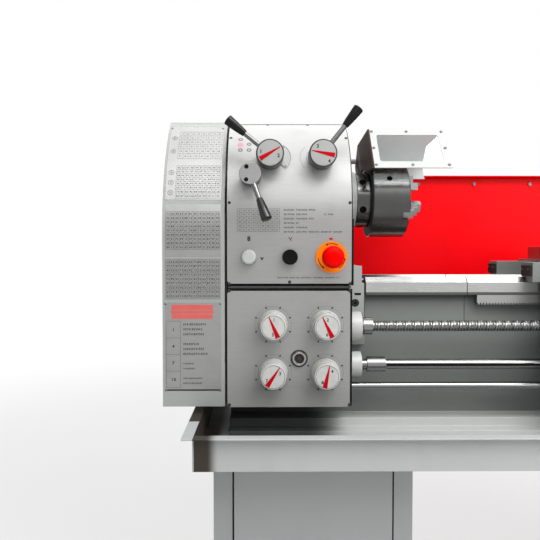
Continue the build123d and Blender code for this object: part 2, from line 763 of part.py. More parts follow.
def plate_back(z):
    """Y of the plate's back face at a height on the bend."""
    return casting_y + lean_back(PLATE_RADIUS - PLATE_THICKNESS, z - bend_z)[0]


# Headstock lid: its front edge follows the bend of the front plate.
with BuildPart() as headstock_lid:
    lid_front = plate_back(lid_top)
    section(
        [
            (plate_back(casting_top) + SEAT_GAP, casting_top),
            (HEAD_REAR, casting_top),
            (HEAD_REAR, lid_top),
            (lid_front + SEAT_GAP, lid_top),
            (plate_back((casting_top + lid_top) / 2) + SEAT_GAP, (casting_top + lid_top) / 2),
        ],
        (head_left, head_right),
    )
    top_edges = headstock_lid.edges().filter_by(Axis.X).group_by(Axis.Z)[-1]
    fillet(top_edges.sort_by(Axis.Y)[-1], LID_THICKNESS / 2)
finish(headstock_lid, "headstock_lid")

# Headstock front plate: flat below and bent back above.
plate_x = (head_left + PLATE_MARGIN, head_right - PLATE_MARGIN)
plate_floor = head_seat + PLATE_MARGIN
plate_top = lid_top - PLATE_TOP_DROP
with BuildPart() as headstock_plate:
    arched(panel_y, PLATE_RADIUS, bend_z, plate_top, 0, plate_floor, plate_x)
    arched(casting_y, PLATE_RADIUS - PLATE_THICKNESS, bend_z, lid_top, HEAD_REAR, plate_floor, plate_x,
           Mode.SUBTRACT)
    corners = headstock_plate.edges().filter_by(Axis.Y).group_by(Axis.Z)[0]
    fillet(corners, PLATE_CORNER)
    for place in (left_dial, right_dial, feed_lever):
        rod(place, (0, 1, 0), DIAL_SHAFT + SLIDE_GAP, HEAD_REACH / 2, Mode.SUBTRACT)
    for place in (jog, stop):
        rod(place, (0, 1, 0), BUTTON_STEM + SLIDE_GAP, HEAD_WALL, Mode.SUBTRACT)
finish(headstock_plate, "headstock_plate")

# Gearbox casting: an open-fronted box on the front of the bed.
stud_idler = CHANGE_MODULE * (STUD_TEETH + IDLER_TEETH) / 2
idler_box = CHANGE_MODULE * (IDLER_TEETH + BOX_TEETH) / 2
change_span = stud_idler + idler_box
change_drop = sqrt(change_span**2 - CHANGE_LEAN**2)
idler = (STUD_Y - CHANGE_LEAN * stud_idler / change_span, stud_z - change_drop * stud_idler / change_span)
box_shaft = (STUD_Y - CHANGE_LEAN, stud_z - change_drop)
with BuildPart() as gearbox_housing:
    block((head_left, head_right), (casting_y, -bed_half), (box_floor, box_top))
    inside_x = (head_left + BOX_WALL, head_right - BOX_WALL)
    inside_z = (box_floor + BOX_WALL, box_top - BOX_WALL)
    block(inside_x, (casting_y, casting_y + BOX_DEPTH), inside_z, Mode.SUBTRACT)
    rod((head_left, *box_shaft), (-1, 0, 0), BOX_BOSS, BOX_BOSS_LENGTH)
    boss_start = head_left - BOX_BOSS_LENGTH
    rod((boss_start, *box_shaft), (1, 0, 0), CHANGE_SHAFT + SHAFT_FIT, BOX_BOSS_LENGTH + BOX_WALL,
        Mode.SUBTRACT)
    for radius, height in rods:
        rod((head_right, ROD_Y, height), (-1, 0, 0), radius + SHAFT_FIT, BOX_WALL, Mode.SUBTRACT)
finish(gearbox_housing, "gearbox_housing")

# Gearbox front plate with holes for the four knob shafts.
knob_places = []
for row in range(2):
    for column in range(2):
        knob_x = head_left + KNOB_X + column * KNOB_SPACING_X
        knob_z = box_top - KNOB_TOP_DROP - row * KNOB_SPACING_Z
        knob_places.append((knob_x, panel_y, knob_z))
glass = (head_left + KNOB_X + KNOB_SPACING_X / 2, panel_y, box_top - GLASS_DROP)
with BuildPart() as gearbox_plate:
    box_plate_z = (box_floor + PLATE_MARGIN, box_top - PLATE_MARGIN)
    block(plate_x, (panel_y, casting_y), box_plate_z)
    fillet(gearbox_plate.edges().filter_by(Axis.Y), PLATE_CORNER)
    for place in knob_places:
        rod(place, (0, 1, 0), KNOB_SHAFT + SHAFT_FIT, PLATE_THICKNESS, Mode.SUBTRACT)
    rod(glass, (0, 1, 0), GLASS_BORE, PLATE_THICKNESS, Mode.SUBTRACT)
finish(gearbox_plate, "gearbox_plate")


def bent_screw(x, rise):
    """A screw head square to the headstock plate at a rise above its bend."""
    back, lean = lean_back(PLATE_RADIUS, rise)
    rod((x, panel_y + back, bend_z + rise), (0, -cos(lean), sin(lean)), SCREW_RADIUS, SCREW_HEAD)


# Screws round the edges of both plates.
with BuildPart() as panel_screws:
    screw_row = plate_floor + SCREW_INSET
    plate_middle = (plate_x[0] + plate_x[1]) / 2
    rod((plate_middle, panel_y, screw_row), (0, -1, 0), SCREW_RADIUS, SCREW_HEAD)
    for corner_x in (head_left + CORNER_INSET, head_right - CORNER_INSET):
        for level in (head_seat + CORNER_INSET, box_floor + CORNER_INSET, box_top - CORNER_INSET):
            rod((corner_x, casting_y, level), (0, -1, 0), SCREW_RADIUS, PLATE_THICKNESS + SCREW_HEAD)
    for side_x in plate_x:
        for turn in SIDE_SCREW_TURNS:
            bent_screw(side_x, PLATE_RADIUS * sin(radians(turn)))
    top_rise = plate_top - bend_z
    top_lean = lean_back(PLATE_RADIUS, top_rise)[1]
    for side in (-1, 1):
        bent_screw(plate_middle + side * TOP_SCREW_HALF, top_rise - SCREW_INSET * cos(top_lean))
finish(panel_screws, "panel_screws")

# Oil sight glass: a bezel with a shoulder behind its glass.
with BuildPart() as sight_glass:
    rod(glass, (0, -1, 0), GLASS_RADIUS, GLASS_LENGTH)
    chamfer(sight_glass.edges().group_by(Axis.Y)[0], GLASS_CHAMFER)
    glass_face = (glass[0], panel_y - GLASS_LENGTH, glass[2])
    rod(glass_face, (0, 1, 0), GLASS_BORE, GLASS_LENGTH / 2, Mode.SUBTRACT)
finish(sight_glass, "sight_glass")

# Signal lamp: a collar with a domed lens.
with BuildPart() as signal_lamp:
    lens = LAMP_RADIUS - LAMP_STEP
    turned([(0, 0), (0, LAMP_RADIUS), (LAMP_RIM, LAMP_RADIUS), (LAMP_RIM + 1, lens), (LAMP_LENGTH - 5, lens),
            (LAMP_LENGTH - 1.5, lens - 3.5), (LAMP_LENGTH, 0)], lamp, (0, -1, 0))
finish(signal_lamp, "signal_lamp")

# Emergency-stop collar on the plate.
with BuildPart() as estop_collar:
    rod(stop, (0, -1, 0), STOP_COLLAR_RADIUS, STOP_COLLAR_LENGTH)
    rod((stop[0], panel_y - STOP_COLLAR_LENGTH, stop[2]), (0, 1, 0), BUTTON_STEM + SLIDE_GAP,
        STOP_COLLAR_LENGTH, Mode.SUBTRACT)
finish(estop_collar, "estop_collar")

# Emergency-stop button: a stem and a mushroom head.
with BuildPart() as estop_button:
    stop_face = (stop[0], panel_y - STOP_COLLAR_LENGTH, stop[2])
    clear = STOP_TRAVEL + 1
    stem_end = -STOP_COLLAR_LENGTH - HEAD_WALL
    neck = STOP_RADIUS - STOP_NECK
    head_start = STOP_HEIGHT - STOP_HEAD
    turned([(stem_end, 0), (stem_end, BUTTON_STEM), (clear, BUTTON_STEM), (clear, neck),
            (head_start - 3, neck), (head_start, STOP_RADIUS), (STOP_HEIGHT - 6, STOP_RADIUS),
            (STOP_HEIGHT - 1.5, neck), (STOP_HEIGHT, 0)], stop_face, (0, -1, 0))
finish(estop_button, "estop_button")

# Jog button: a flat black cap on a stem.
with BuildPart() as jog_button:
    lift = JOG_TRAVEL + 0.5
    cap = lift + JOG_LENGTH
    turned([(-HEAD_WALL, 0), (-HEAD_WALL, BUTTON_STEM), (lift, BUTTON_STEM), (lift, JOG_RADIUS),
            (cap - 2, JOG_RADIUS), (cap, JOG_RADIUS - 2), (cap, 0)], jog, (0, -1, 0))
finish(jog_button, "jog_button")


def grip(start, direction):
    """A tapered grip on the end of a lever rod."""
    turned([(0, 0), (0, GRIP_NARROW), (GRIP_LENGTH - GRIP_TIP, GRIP_WIDE),
            (GRIP_LENGTH, GRIP_WIDE - GRIP_TIP), (GRIP_LENGTH, 0)], tuple(start), tuple(direction))


def dial_lever(place, angle, reach):
    """A round dial on a shaft, with a rod and a grip square to it."""
    face_y = panel_y - DIAL_STANDOFF
    shaft_end = DIAL_LENGTH + DIAL_SHAFT_LENGTH
    turned([(0, 0), (0, DIAL_RADIUS - 2), (2, DIAL_RADIUS), (DIAL_LENGTH, DIAL_RADIUS),
            (DIAL_LENGTH, DIAL_SHAFT), (shaft_end, DIAL_SHAFT), (shaft_end, 0)],
           (place[0], face_y, place[2]), (0, 1, 0))
    lever_dir = Vector(cos(radians(angle)), 0, sin(radians(angle)))
    lever_root = Vector(place[0], face_y + DIAL_LEVER_BACK, place[2])
    rod(tuple(lever_root), tuple(lever_dir), LEVER_ROD, reach - GRIP_LENGTH)
    grip(lever_root + lever_dir * (reach - GRIP_LENGTH), lever_dir)


# Left speed dial.
with BuildPart() as left_speed_dial:
    dial_lever(left_dial, LEFT_DIAL_ANGLE, LEFT_LEVER_REACH)
finish(left_speed_dial, "left_speed_dial")

# Right speed dial.
with BuildPart() as right_speed_dial:
    dial_lever(right_dial, RIGHT_DIAL_ANGLE, RIGHT_LEVER_REACH)
finish(right_speed_dial, "right_speed_dial")

# Feed direction lever: a hub with a rod that leans out from the panel.
with BuildPart() as feed_direction_lever:
    hub_face = panel_y - FEED_HUB_STANDOFF
    hub_length = FEED_HUB_STANDOFF - FEED_HUB_GAP
    shaft_end = hub_length + FEED_SHAFT_LENGTH
    turned([(0, 0), (0, FEED_HUB_RADIUS - 2), (2, FEED_HUB_RADIUS), (hub_length, FEED_HUB_RADIUS),
            (hub_length, DIAL_SHAFT), (shaft_end, DIAL_SHAFT), (shaft_end, 0)],
           (feed_lever[0], hub_face, feed_lever[2]), (0, 1, 0))
    down = radians(FEED_LEVER_ANGLE)
    feed_dir = Vector(cos(down), -FEED_LEVER_TILT, sin(down)).normalized()
    feed_root = Vector(feed_lever[0], hub_face + FEED_LEVER_BACK, feed_lever[2])
    rod(tuple(feed_root), tuple(feed_dir), LEVER_ROD, FEED_LEVER_REACH - GRIP_LENGTH)
    grip(feed_root + feed_dir * (FEED_LEVER_REACH - GRIP_LENGTH), feed_dir)
finish(feed_direction_lever, "feed_direction_lever")

# Gearbox knobs: tapered caps on shafts through the plate.
for number, place in enumerate(knob_places, 1):
    with BuildPart() as knob:
        stem_end = -2 * BOX_WALL
        turned([(stem_end, 0), (stem_end, KNOB_SHAFT), (SLIDE_GAP, KNOB_SHAFT), (SLIDE_GAP, KNOB_BASE),
                (KNOB_RIM, KNOB_BASE), (KNOB_LENGTH - KNOB_EDGE, KNOB_FACE),
                (KNOB_LENGTH, KNOB_FACE - KNOB_EDGE), (KNOB_LENGTH, 0)], place, (0, -1, 0))
    finish(knob, f"gearbox_knob_{number}")

# Spindle bearings: a ring in each end wall of the headstock.
with BuildPart() as spindle_bearings:
    rear_seat = (head_left + BEARING_INSET, 0, SPINDLE_HEIGHT)
    rear_width = HEAD_LEFT_WALL - BEARING_INSET
    rod(rear_seat, (1, 0, 0), REAR_BEARING - SEAT_GAP, rear_width)
    rod(rear_seat, (1, 0, 0), SPINDLE_RADIUS + SHAFT_FIT, rear_width, Mode.SUBTRACT)
    front_seat = (head_right - HEAD_RIGHT_WALL, 0, SPINDLE_HEIGHT)
    rod(front_seat, (1, 0, 0), FRONT_BEARING - SEAT_GAP, HEAD_RIGHT_WALL)
    rod(front_seat, (1, 0, 0), FRONT_SEAT_RADIUS + SHAFT_FIT, HEAD_RIGHT_WALL, Mode.SUBTRACT)
finish(spindle_bearings, "spindle_bearings")

# Spindle: a hollow shaft with a camlock nose, and the gear that drives it.
drive_angle = degrees(atan2(input_drop, -INPUT_BACK))
drive_x = (head_left + DRIVE_GEAR_X, head_left + DRIVE_GEAR_X + DRIVE_FACE)
spindle_left = head_left - SPINDLE_TAIL
with BuildPart() as spindle:
    seat_start = head_right - HEAD_RIGHT_WALL - BEARING_INSET
    seat_end = head_right + BEARING_INSET
    pilot_end = nose_right + PILOT_LENGTH
    bore = SPINDLE_BORE / 2
    turned([(spindle_left, bore), (spindle_left, SPINDLE_RADIUS), (seat_start, SPINDLE_RADIUS),
            (seat_start, FRONT_SEAT_RADIUS), (seat_end, FRONT_SEAT_RADIUS), (seat_end, NOSE_NECK),
            (nose_left, NOSE_NECK), (nose_left, NOSE_RADIUS), (nose_right, NOSE_RADIUS),
            (nose_right, NOSE_PILOT), (pilot_end, NOSE_PILOT - PILOT_TAPER), (pilot_end, bore)],
           spindle_axis, (1, 0, 0))
    for socket in range(NOSE_SOCKETS):
        turn = radians(socket * 360 / NOSE_SOCKETS + NOSE_SOCKET_TURN)
        inward = Vector(0, cos(turn), -sin(turn))
        socket_root = Vector(nose_left + NOSE_SOCKET_X, 0, SPINDLE_HEIGHT) - inward * NOSE_RADIUS
        rod(tuple(socket_root), tuple(inward), NOSE_SOCKET, NOSE_SOCKET_DEPTH, Mode.SUBTRACT)
    spindle_phase = drive_angle + 180 + 180 / SPINDLE_TEETH
    gear(SPINDLE_TEETH, DRIVE_MODULE, spindle_phase, (0, SPINDLE_HEIGHT), drive_x, SPINDLE_RADIUS)
finish(spindle, "spindle")

# Input shaft: pulley, shaft and the pinion that drives the spindle gear.
pulley_x = (head_left - PULLEY_X - PULLEY_WIDTH, head_left - PULLEY_X)
pulley_middle = pulley_x[0] + PULLEY_WIDTH / 2
belt_middles = (pulley_middle - BELT_SPACING / 2, pulley_middle + BELT_SPACING / 2)


def pulley(radius, centre):
    """A two-groove pulley on an X axis."""
    rod((pulley_x[0], *centre), (1, 0, 0), radius, PULLEY_WIDTH)
    for middle in belt_middles:
        left = middle - BELT_WIDTH / 2 - SLIDE_GAP
        right = middle + BELT_WIDTH / 2 + SLIDE_GAP
        turned([(left, radius - BELT_DEPTH), (right, radius - BELT_DEPTH), (right, radius + 1),
                (left, radius + 1)], (0, *centre), (1, 0, 0), Mode.SUBTRACT)


input_centre = (INPUT_BACK, input_z)
with BuildPart() as input_shaft:
    pulley(INPUT_PULLEY, input_centre)
    rod((pulley_x[0], *input_centre), (1, 0, 0), INPUT_SHAFT, input_end - SEAM - pulley_x[0])
    gear(PINION_TEETH, DRIVE_MODULE, drive_angle, input_centre, drive_x, INPUT_SHAFT - 1)
finish(input_shaft, "input_shaft")

# Motor behind the bed, on a foot bolted to the bed pad.
motor_centre = (MOTOR_Y, motor_z)
with BuildPart() as motor:
    rod((motor_left, *motor_centre), (1, 0, 0), MOTOR_RADIUS, MOTOR_LENGTH)
    fillet(motor.edges().filter_by(GeomType.CIRCLE), MOTOR_EDGE)
    block(motor_foot_x, (motor_pad_y, MOTOR_Y), motor_foot_z)
    terminal_x = (motor_foot_x[0], motor_foot_x[0] + TERMINAL_LENGTH)
    terminal_y = (MOTOR_Y - TERMINAL_HALF, MOTOR_Y + TERMINAL_HALF)
    block(terminal_x, terminal_y, (motor_z, motor_z + MOTOR_RADIUS + TERMINAL_RISE))
    rod((motor_left, *motor_centre), (1, 0, 0), MOTOR_SHAFT + SHAFT_FIT, MOTOR_SOCKET, Mode.SUBTRACT)
finish(motor, "motor")

# Motor pulley on the motor shaft.
with BuildPart() as motor_pulley:
    pulley(MOTOR_PULLEY, motor_centre)
    rod((pulley_x[0], *motor_centre), (1, 0, 0), MOTOR_SHAFT, motor_left + MOTOR_SOCKET - SEAM - pulley_x[0])
finish(motor_pulley, "motor_pulley")

# Drive belts in the pulley grooves.
with BuildPart() as drive_belts:
    for middle in belt_middles:
        belt_plane = Plane(origin=(middle - BELT_WIDTH / 2, 0, 0), x_dir=(0, 1, 0), z_dir=(1, 0, 0))
        for extra, kind in ((BELT_THICKNESS, Mode.ADD), (0, Mode.SUBTRACT)):
            with BuildSketch(belt_plane) as loop:
                with Locations(input_centre):
                    Circle(INPUT_PULLEY - BELT_DEPTH + SLIDE_GAP + extra)
                with Locations(motor_centre):
                    Circle(MOTOR_PULLEY - BELT_DEPTH + SLIDE_GAP + extra)
                make_hull()
            extrude(loop.sketch, amount=BELT_WIDTH, mode=kind)
finish(drive_belts, "drive_belts")

# Change gears: stud, idler and gearbox input, meshed in one line.
change_angle = degrees(atan2(-change_drop, -CHANGE_LEAN))
change_x = (head_left - CHANGE_X - CHANGE_FACE, head_left - CHANGE_X)
shaft_start = change_x[0] - SHAFT_OVERHANG
with BuildPart() as stud_gear:
    gear(STUD_TEETH, CHANGE_MODULE, change_angle, (STUD_Y, stud_z), change_x, CHANGE_SHAFT - 1)
    rod((shaft_start, STUD_Y, stud_z), (1, 0, 0), CHANGE_SHAFT, head_left + HEAD_LEFT_WALL - shaft_start)
finish(stud_gear, "stud_gear")

with BuildPart() as idler_gear:
    idler_phase = change_angle + 180 + 180 / IDLER_TEETH
    gear(IDLER_TEETH, CHANGE_MODULE, idler_phase, idler, change_x, IDLER_PIN + SHAFT_FIT)
finish(idler_gear, "idler_gear")

with BuildPart() as input_gear:
    gear(BOX_TEETH, CHANGE_MODULE, change_angle + 180, box_shaft, change_x, CHANGE_SHAFT - 1)
    rod((shaft_start, *box_shaft), (1, 0, 0), CHANGE_SHAFT, head_left + BOX_WALL - shaft_start)
finish(input_gear, "input_gear")

# Change-gear quadrant: an arm on the gearbox boss that carries the idler pin.
quadrant_left = head_left - QUADRANT_GAP - QUADRANT_PLATE
with BuildPart() as gear_quadrant:
    arm_plane = Plane(origin=(quadrant_left, 0, 0), x_dir=(0, 1, 0), z_dir=(1, 0, 0))
    with BuildSketch(arm_plane) as arm:
        with Locations(box_shaft):
            Circle(BOX_BOSS + QUADRANT_RING)
        with Locations(idler):
            Circle(QUADRANT_WIDTH / 2)
        make_hull()
        with Locations(box_shaft):
            Circle(BOX_BOSS + SEAT_GAP, mode=Mode.SUBTRACT)
    extrude(arm.sketch, amount=QUADRANT_PLATE)
    pin_start = change_x[0] - QUADRANT_GAP
    rod((pin_start, *idler), (1, 0, 0), IDLER_PIN, head_left - pin_start)
finish(gear_quadrant, "gear_quadrant")

# Gear cover: a shell open towards the headstock, on two hinge knuckles.
cover_bend = SPINDLE_HEIGHT - COVER_BEND_DROP
cover_top = SPINDLE_HEIGHT + COVER_RISE
with BuildPart() as gear_cover:
    arched(panel_y, COVER_RADIUS, cover_bend, cover_top, COVER_REAR, box_floor, (cover_left, cover_right))
    arched(panel_y + COVER_WALL, COVER_RADIUS - COVER_WALL, cover_bend, cover_top - COVER_WALL,
           COVER_REAR - COVER_WALL, box_floor + COVER_WALL, (cover_left + COVER_WALL, cover_right),
           Mode.SUBTRACT)
    rod((cover_left, 0, SPINDLE_HEIGHT), (1, 0, 0), COVER_BAR_HOLE, COVER_WALL, Mode.SUBTRACT)
    for level in HINGE_LEVELS:
        knuckle = SPINDLE_HEIGHT + level + HINGE_LENGTH + SLIDE_GAP
        leaf_x = (cover_right - COVER_LEAF, hinge[0])
        block(leaf_x, (COVER_REAR - COVER_WALL, HINGE_Y), (knuckle, knuckle + HINGE_LENGTH))
        rod((*hinge, knuckle), (0, 0, 1), HINGE_RADIUS, HINGE_LENGTH)
        rod((*hinge, knuckle), (0, 0, -1), HINGE_PIN, HINGE_LENGTH + SLIDE_GAP)
finish(gear_cover, "gear_cover")

# Chuck body: a plain cylinder with three jaw slots and three key holes.
jaw_angles = [90 + number * 360 / JAW_COUNT for number in range(JAW_COUNT)]
with BuildPart() as chuck_body:
    chuck_back = (nose_right, 0, SPINDLE_HEIGHT)
    rod(chuck_back, (1, 0, 0), CHUCK_RADIUS, CHUCK_LENGTH)
    chamfer(chuck_body.edges().filter_by(GeomType.CIRCLE), CHUCK_CHAMFER)
    rod(chuck_back, (1, 0, 0), CHUCK_BORE, CHUCK_LENGTH, Mode.SUBTRACT)
    rod(chuck_back, (1, 0, 0), NOSE_PILOT + SEAT_GAP, PILOT_LENGTH + SEAT_GAP, Mode.SUBTRACT)
    for angle in jaw_angles:
        out = Vector(0, cos(radians(angle)), sin(radians(angle)))
        slot_plane = Plane(origin=(chuck_right, 0, SPINDLE_HEIGHT), x_dir=tuple(out), z_dir=(1, 0, 0))
        with BuildSketch(slot_plane) as slot:
            with Locations((CHUCK_RADIUS / 2, 0)):
                Rectangle(CHUCK_RADIUS + 2, JAW_WIDTH + 2 * SLIDE_GAP)
        extrude(slot.sketch, amount=-JAW_DEPTH, mode=Mode.SUBTRACT)
        key_root = Vector(nose_right + CHUCK_KEY_X, 0, SPINDLE_HEIGHT) - out * CHUCK_RADIUS
        rod(tuple(key_root), tuple(out), CHUCK_KEY, CHUCK_KEY_DEPTH, Mode.SUBTRACT)
finish(chuck_body, "chuck_body")

# Chuck jaws: stepped blocks in the slots.
for number, angle in enumerate(jaw_angles, 1):
    with BuildPart() as jaw:
        out = (0, cos(radians(angle)), sin(radians(angle)))
        side = (0, -sin(radians(angle)), cos(radians(angle)))
        jaw_plane = Plane(origin=(0, 0, SPINDLE_HEIGHT), x_dir=(1, 0, 0), z_dir=side)
        base = chuck_right - JAW_DEPTH + SLIDE_GAP
        first = chuck_right + JAW_RISE / 3
        second = chuck_right + JAW_RISE * 2 / 3
        tip = chuck_right + JAW_RISE
        with BuildSketch(jaw_plane) as steps:
            Polygon((base, JAW_INNER), (tip, JAW_INNER), (tip, JAW_INNER + JAW_STEP),
                    (second, JAW_INNER + JAW_STEP), (second, JAW_INNER + 2 * JAW_STEP),
                    (first, JAW_INNER + 2 * JAW_STEP), (first, JAW_OUTER), (base, JAW_OUTER), align=None)
        extrude(steps.sketch, amount=JAW_WIDTH / 2, both=True)
    finish(jaw, f"chuck_jaw_{number}")

# Chuck guard: folded sheet over the chuck with a window in its sloping front.
guard_left = head_right + GUARD_START
guard_right = guard_left + GUARD_LENGTH
guard_outline = [
    (-GUARD_FRONT, SPINDLE_HEIGHT + GUARD_FRONT_RISE),
    (-GUARD_TOP_FRONT, SPINDLE_HEIGHT + GUARD_TOP_RISE),
    (GUARD_TOP_REAR, SPINDLE_HEIGHT + GUARD_REAR_RISE),
    (GUARD_BACK, SPINDLE_HEIGHT + GUARD_BACK_RISE),
    (GUARD_HEEL, SPINDLE_HEIGHT + GUARD_HEEL_RISE),
]
slope = Vector(GUARD_FRONT - GUARD_TOP_FRONT, GUARD_TOP_RISE - GUARD_FRONT_RISE)
with BuildPart() as chuck_guard:
    section(guard_outline, (guard_left, guard_right))
    with BuildSketch(Plane.YZ.offset(guard_left + GUARD_SHEET)) as hollow:
        Polygon(*guard_outline, align=None)
        offset(amount=-GUARD_SHEET)
    extrude(hollow.sketch, amount=GUARD_LENGTH, mode=Mode.SUBTRACT)
    mouth_x = (guard_left + GUARD_SHEET, guard_right)
    mouth_y = (-GUARD_FRONT + GUARD_LIP, GUARD_HEEL - GUARD_HEEL_LIP)
    mouth_z = (SPINDLE_HEIGHT + GUARD_FRONT_RISE - 1, SPINDLE_HEIGHT + GUARD_FRONT_RISE + GUARD_MOUTH)
    block(mouth_x, mouth_y, mouth_z, Mode.SUBTRACT)
    rod((guard_left, 0, SPINDLE_HEIGHT), (1, 0, 0), GUARD_NOTCH, GUARD_SHEET, Mode.SUBTRACT)
    window_y = -(GUARD_FRONT + GUARD_TOP_FRONT) / 2
    window_z = SPINDLE_HEIGHT + (GUARD_FRONT_RISE + GUARD_TOP_RISE) / 2
    window_out = (0, -slope.Y, slope.X)
    window_plane = Plane(origin=((guard_left + guard_right) / 2, window_y, window_z), x_dir=(1, 0, 0),
                         z_dir=window_out)
    window_size = (GUARD_LENGTH - 2 * WINDOW_MARGIN, slope.length - 2.2 * WINDOW_MARGIN)
    with BuildSketch(window_plane) as window:
        RectangleRounded(*window_size, WINDOW_CORNER)
    extrude(window.sketch, amount=2 * GUARD_SHEET, both=True, mode=Mode.SUBTRACT)
    rod((head_right + QUADRANT_GAP, GUARD_PIVOT_Y, pivot_z), (1, 0, 0), GUARD_PIN,
        guard_left + GUARD_SHEET - head_right - QUADRANT_GAP)
    with BuildSketch(window_plane.offset(-(GUARD_SHEET + PANE_THICKNESS) / 2)) as pane:
        RectangleRounded(window_size[0] - 2 * SEAT_GAP, window_size[1] - 2 * SEAT_GAP, WINDOW_CORNER)
    extrude(pane.sketch, amount=PANE_THICKNESS)
finish(chuck_guard, "chuck_guard")

# Splash guard behind the bed, lapped on the back wall of the tray.
with BuildPart() as splash_guard:
    splash_x = (head_right + SPLASH_START, SPLASH_END)
    splash_y = (TRAY_REAR - SPLASH_SHEET, TRAY_REAR)
    splash_z = (tray_rim - SPLASH_LAP, SPINDLE_HEIGHT + SPLASH_TOP_RISE)
    block(splash_x, splash_y, splash_z)
    block(splash_x, (splash_y[0] - SPLASH_HEM, splash_y[0]), (splash_z[1] - SPLASH_SHEET, splash_z[1]))
finish(splash_guard, "splash_guard")

# Rods in front of the bed.
sleeve_left = head_right + FLANGE_LENGTH + SLEEVE_GAP
rod_end = bracket_right - ROD_END_INSET
wall_start = head_right - BOX_WALL
with BuildPart() as leadscrew:
    turned([(wall_start, 0), (wall_start, LEADSCREW_RADIUS), (sleeve_left, LEADSCREW_RADIUS),
            (sleeve_left, LEADSCREW_SLEEVE), (sleeve_left + SLEEVE_LENGTH, LEADSCREW_SLEEVE),
            (sleeve_left + SLEEVE_LENGTH, LEADSCREW_RADIUS), (rod_end, LEADSCREW_RADIUS), (rod_end, 0)],
           (0, ROD_Y, screw_z), (1, 0, 0))
finish(leadscrew, "leadscrew")

with BuildPart() as feed_rod:
    feed_sleeve_left = sleeve_left + FEED_SLEEVE_START
    feed_sleeve_right = feed_sleeve_left + FEED_SLEEVE_LENGTH
    turned([(wall_start, 0), (wall_start, FEED_ROD_RADIUS), (feed_sleeve_left, FEED_ROD_RADIUS),
            (feed_sleeve_left, FEED_SLEEVE), (feed_sleeve_right, FEED_SLEEVE),
            (feed_sleeve_right, FEED_ROD_RADIUS), (rod_end, FEED_ROD_RADIUS), (rod_end, 0)],
           (0, ROD_Y, feed_z), (1, 0, 0))
finish(feed_rod, "feed_rod")

with BuildPart() as control_rod:
    rod((wall_start, ROD_Y, control_z), (1, 0, 0), CONTROL_RADIUS, rod_end - wall_start)
finish(control_rod, "control_rod")

# Rod bearings: two flanges on the gearbox and the bracket at the far end.
with BuildPart() as rod_bearings:
    for (radius, height), flange in zip(rods, (SCREW_FLANGE, FEED_FLANGE)):
        rod((head_right, ROD_Y, height), (1, 0, 0), flange, FLANGE_LENGTH)
        rod((head_right, ROD_Y, height), (1, 0, 0), radius + SHAFT_FIT, FLANGE_LENGTH, Mode.SUBTRACT)
    block((bracket_left, bracket_right), (ROD_Y - ROD_BRACKET_REACH, -wall_face),
          (control_z - ROD_BRACKET_REACH, screw_z + ROD_BRACKET_REACH))
    for radius, height in rods:
        rod((bracket_left, ROD_Y, height), (1, 0, 0), radius + SHAFT_FIT, ROD_BRACKET_WIDTH, Mode.SUBTRACT)
finish(rod_bearings, "rod_bearings")

# Saddle: an H on the ways with a dovetail across it.
half_saddle = SADDLE_LENGTH / 2
saddle_x = (CARRIAGE_X - half_saddle, CARRIAGE_X + half_saddle)
bridge_x = (CARRIAGE_X - BRIDGE_HALF, CARRIAGE_X + BRIDGE_HALF)
wing_floor = way_flat + SLIDE_GAP
front_wing_y = (-bed_half - SADDLE_WING, front_vee + VEE_HALF + 5)
rear_wing_y = (rear_vee + VEE_HALF + 3, bed_half + SADDLE_WING)


def vee_groove(middle, x):
    """Clears a vee way under a slide."""
    half = VEE_HALF + SLIDE_GAP
    crest = VEE_CREST + SLIDE_GAP
    section([(middle - half, way_flat), (middle - crest, bed_top + SLIDE_GAP),
             (middle + crest, bed_top + SLIDE_GAP), (middle + half, way_flat)], x, Mode.SUBTRACT)
    block(x, (middle - half, middle + half), (way_flat, way_flat + SLIDE_GAP), Mode.SUBTRACT)


def dovetail_y(x_middle, root, top, z, y, mode=Mode.ADD):
    """A dovetail that runs along Y, wider at its top."""
    profile([(x_middle - root / 2, z[0]), (x_middle + root / 2, z[0]), (x_middle + top / 2, z[1]),
             (x_middle - top / 2, z[1])], y, mode)


with BuildPart() as saddle:
    block(saddle_x, front_wing_y, (wing_floor, saddle_top - WAY_RISE / 2))
    block(saddle_x, rear_wing_y, (wing_floor, saddle_top - WAY_RISE / 2))
    block(bridge_x, (-BRIDGE_FRONT, BRIDGE_REAR), (bridge_floor, saddle_top))
    vee_groove(front_vee, saddle_x)
    saddle_dovetail = (saddle_top, saddle_top + DOVETAIL_RISE)
    dovetail_y(CARRIAGE_X, DOVETAIL_ROOT, DOVETAIL_TOP, saddle_dovetail, (-BRIDGE_FRONT, BRIDGE_REAR))
    nut_half = CROSS_NUT / 2 + CROSS_NUT_SIDE
    slot_x = (CARRIAGE_X - nut_half, CARRIAGE_X + nut_half)
    slot_y = (-BRIDGE_FRONT + SCREW_BOSS, BRIDGE_REAR - SLOT_END)
    block(slot_x, slot_y, (cross_screw_z - CROSS_SCREW - SLOT_FLOOR, saddle_dovetail[1]), Mode.SUBTRACT)
    screw_front = (CARRIAGE_X, -BRIDGE_FRONT, cross_screw_z)
    rod(screw_front, (0, 1, 0), CROSS_SCREW + SHAFT_FIT, SCREW_BOSS, Mode.SUBTRACT)
finish(saddle, "saddle")

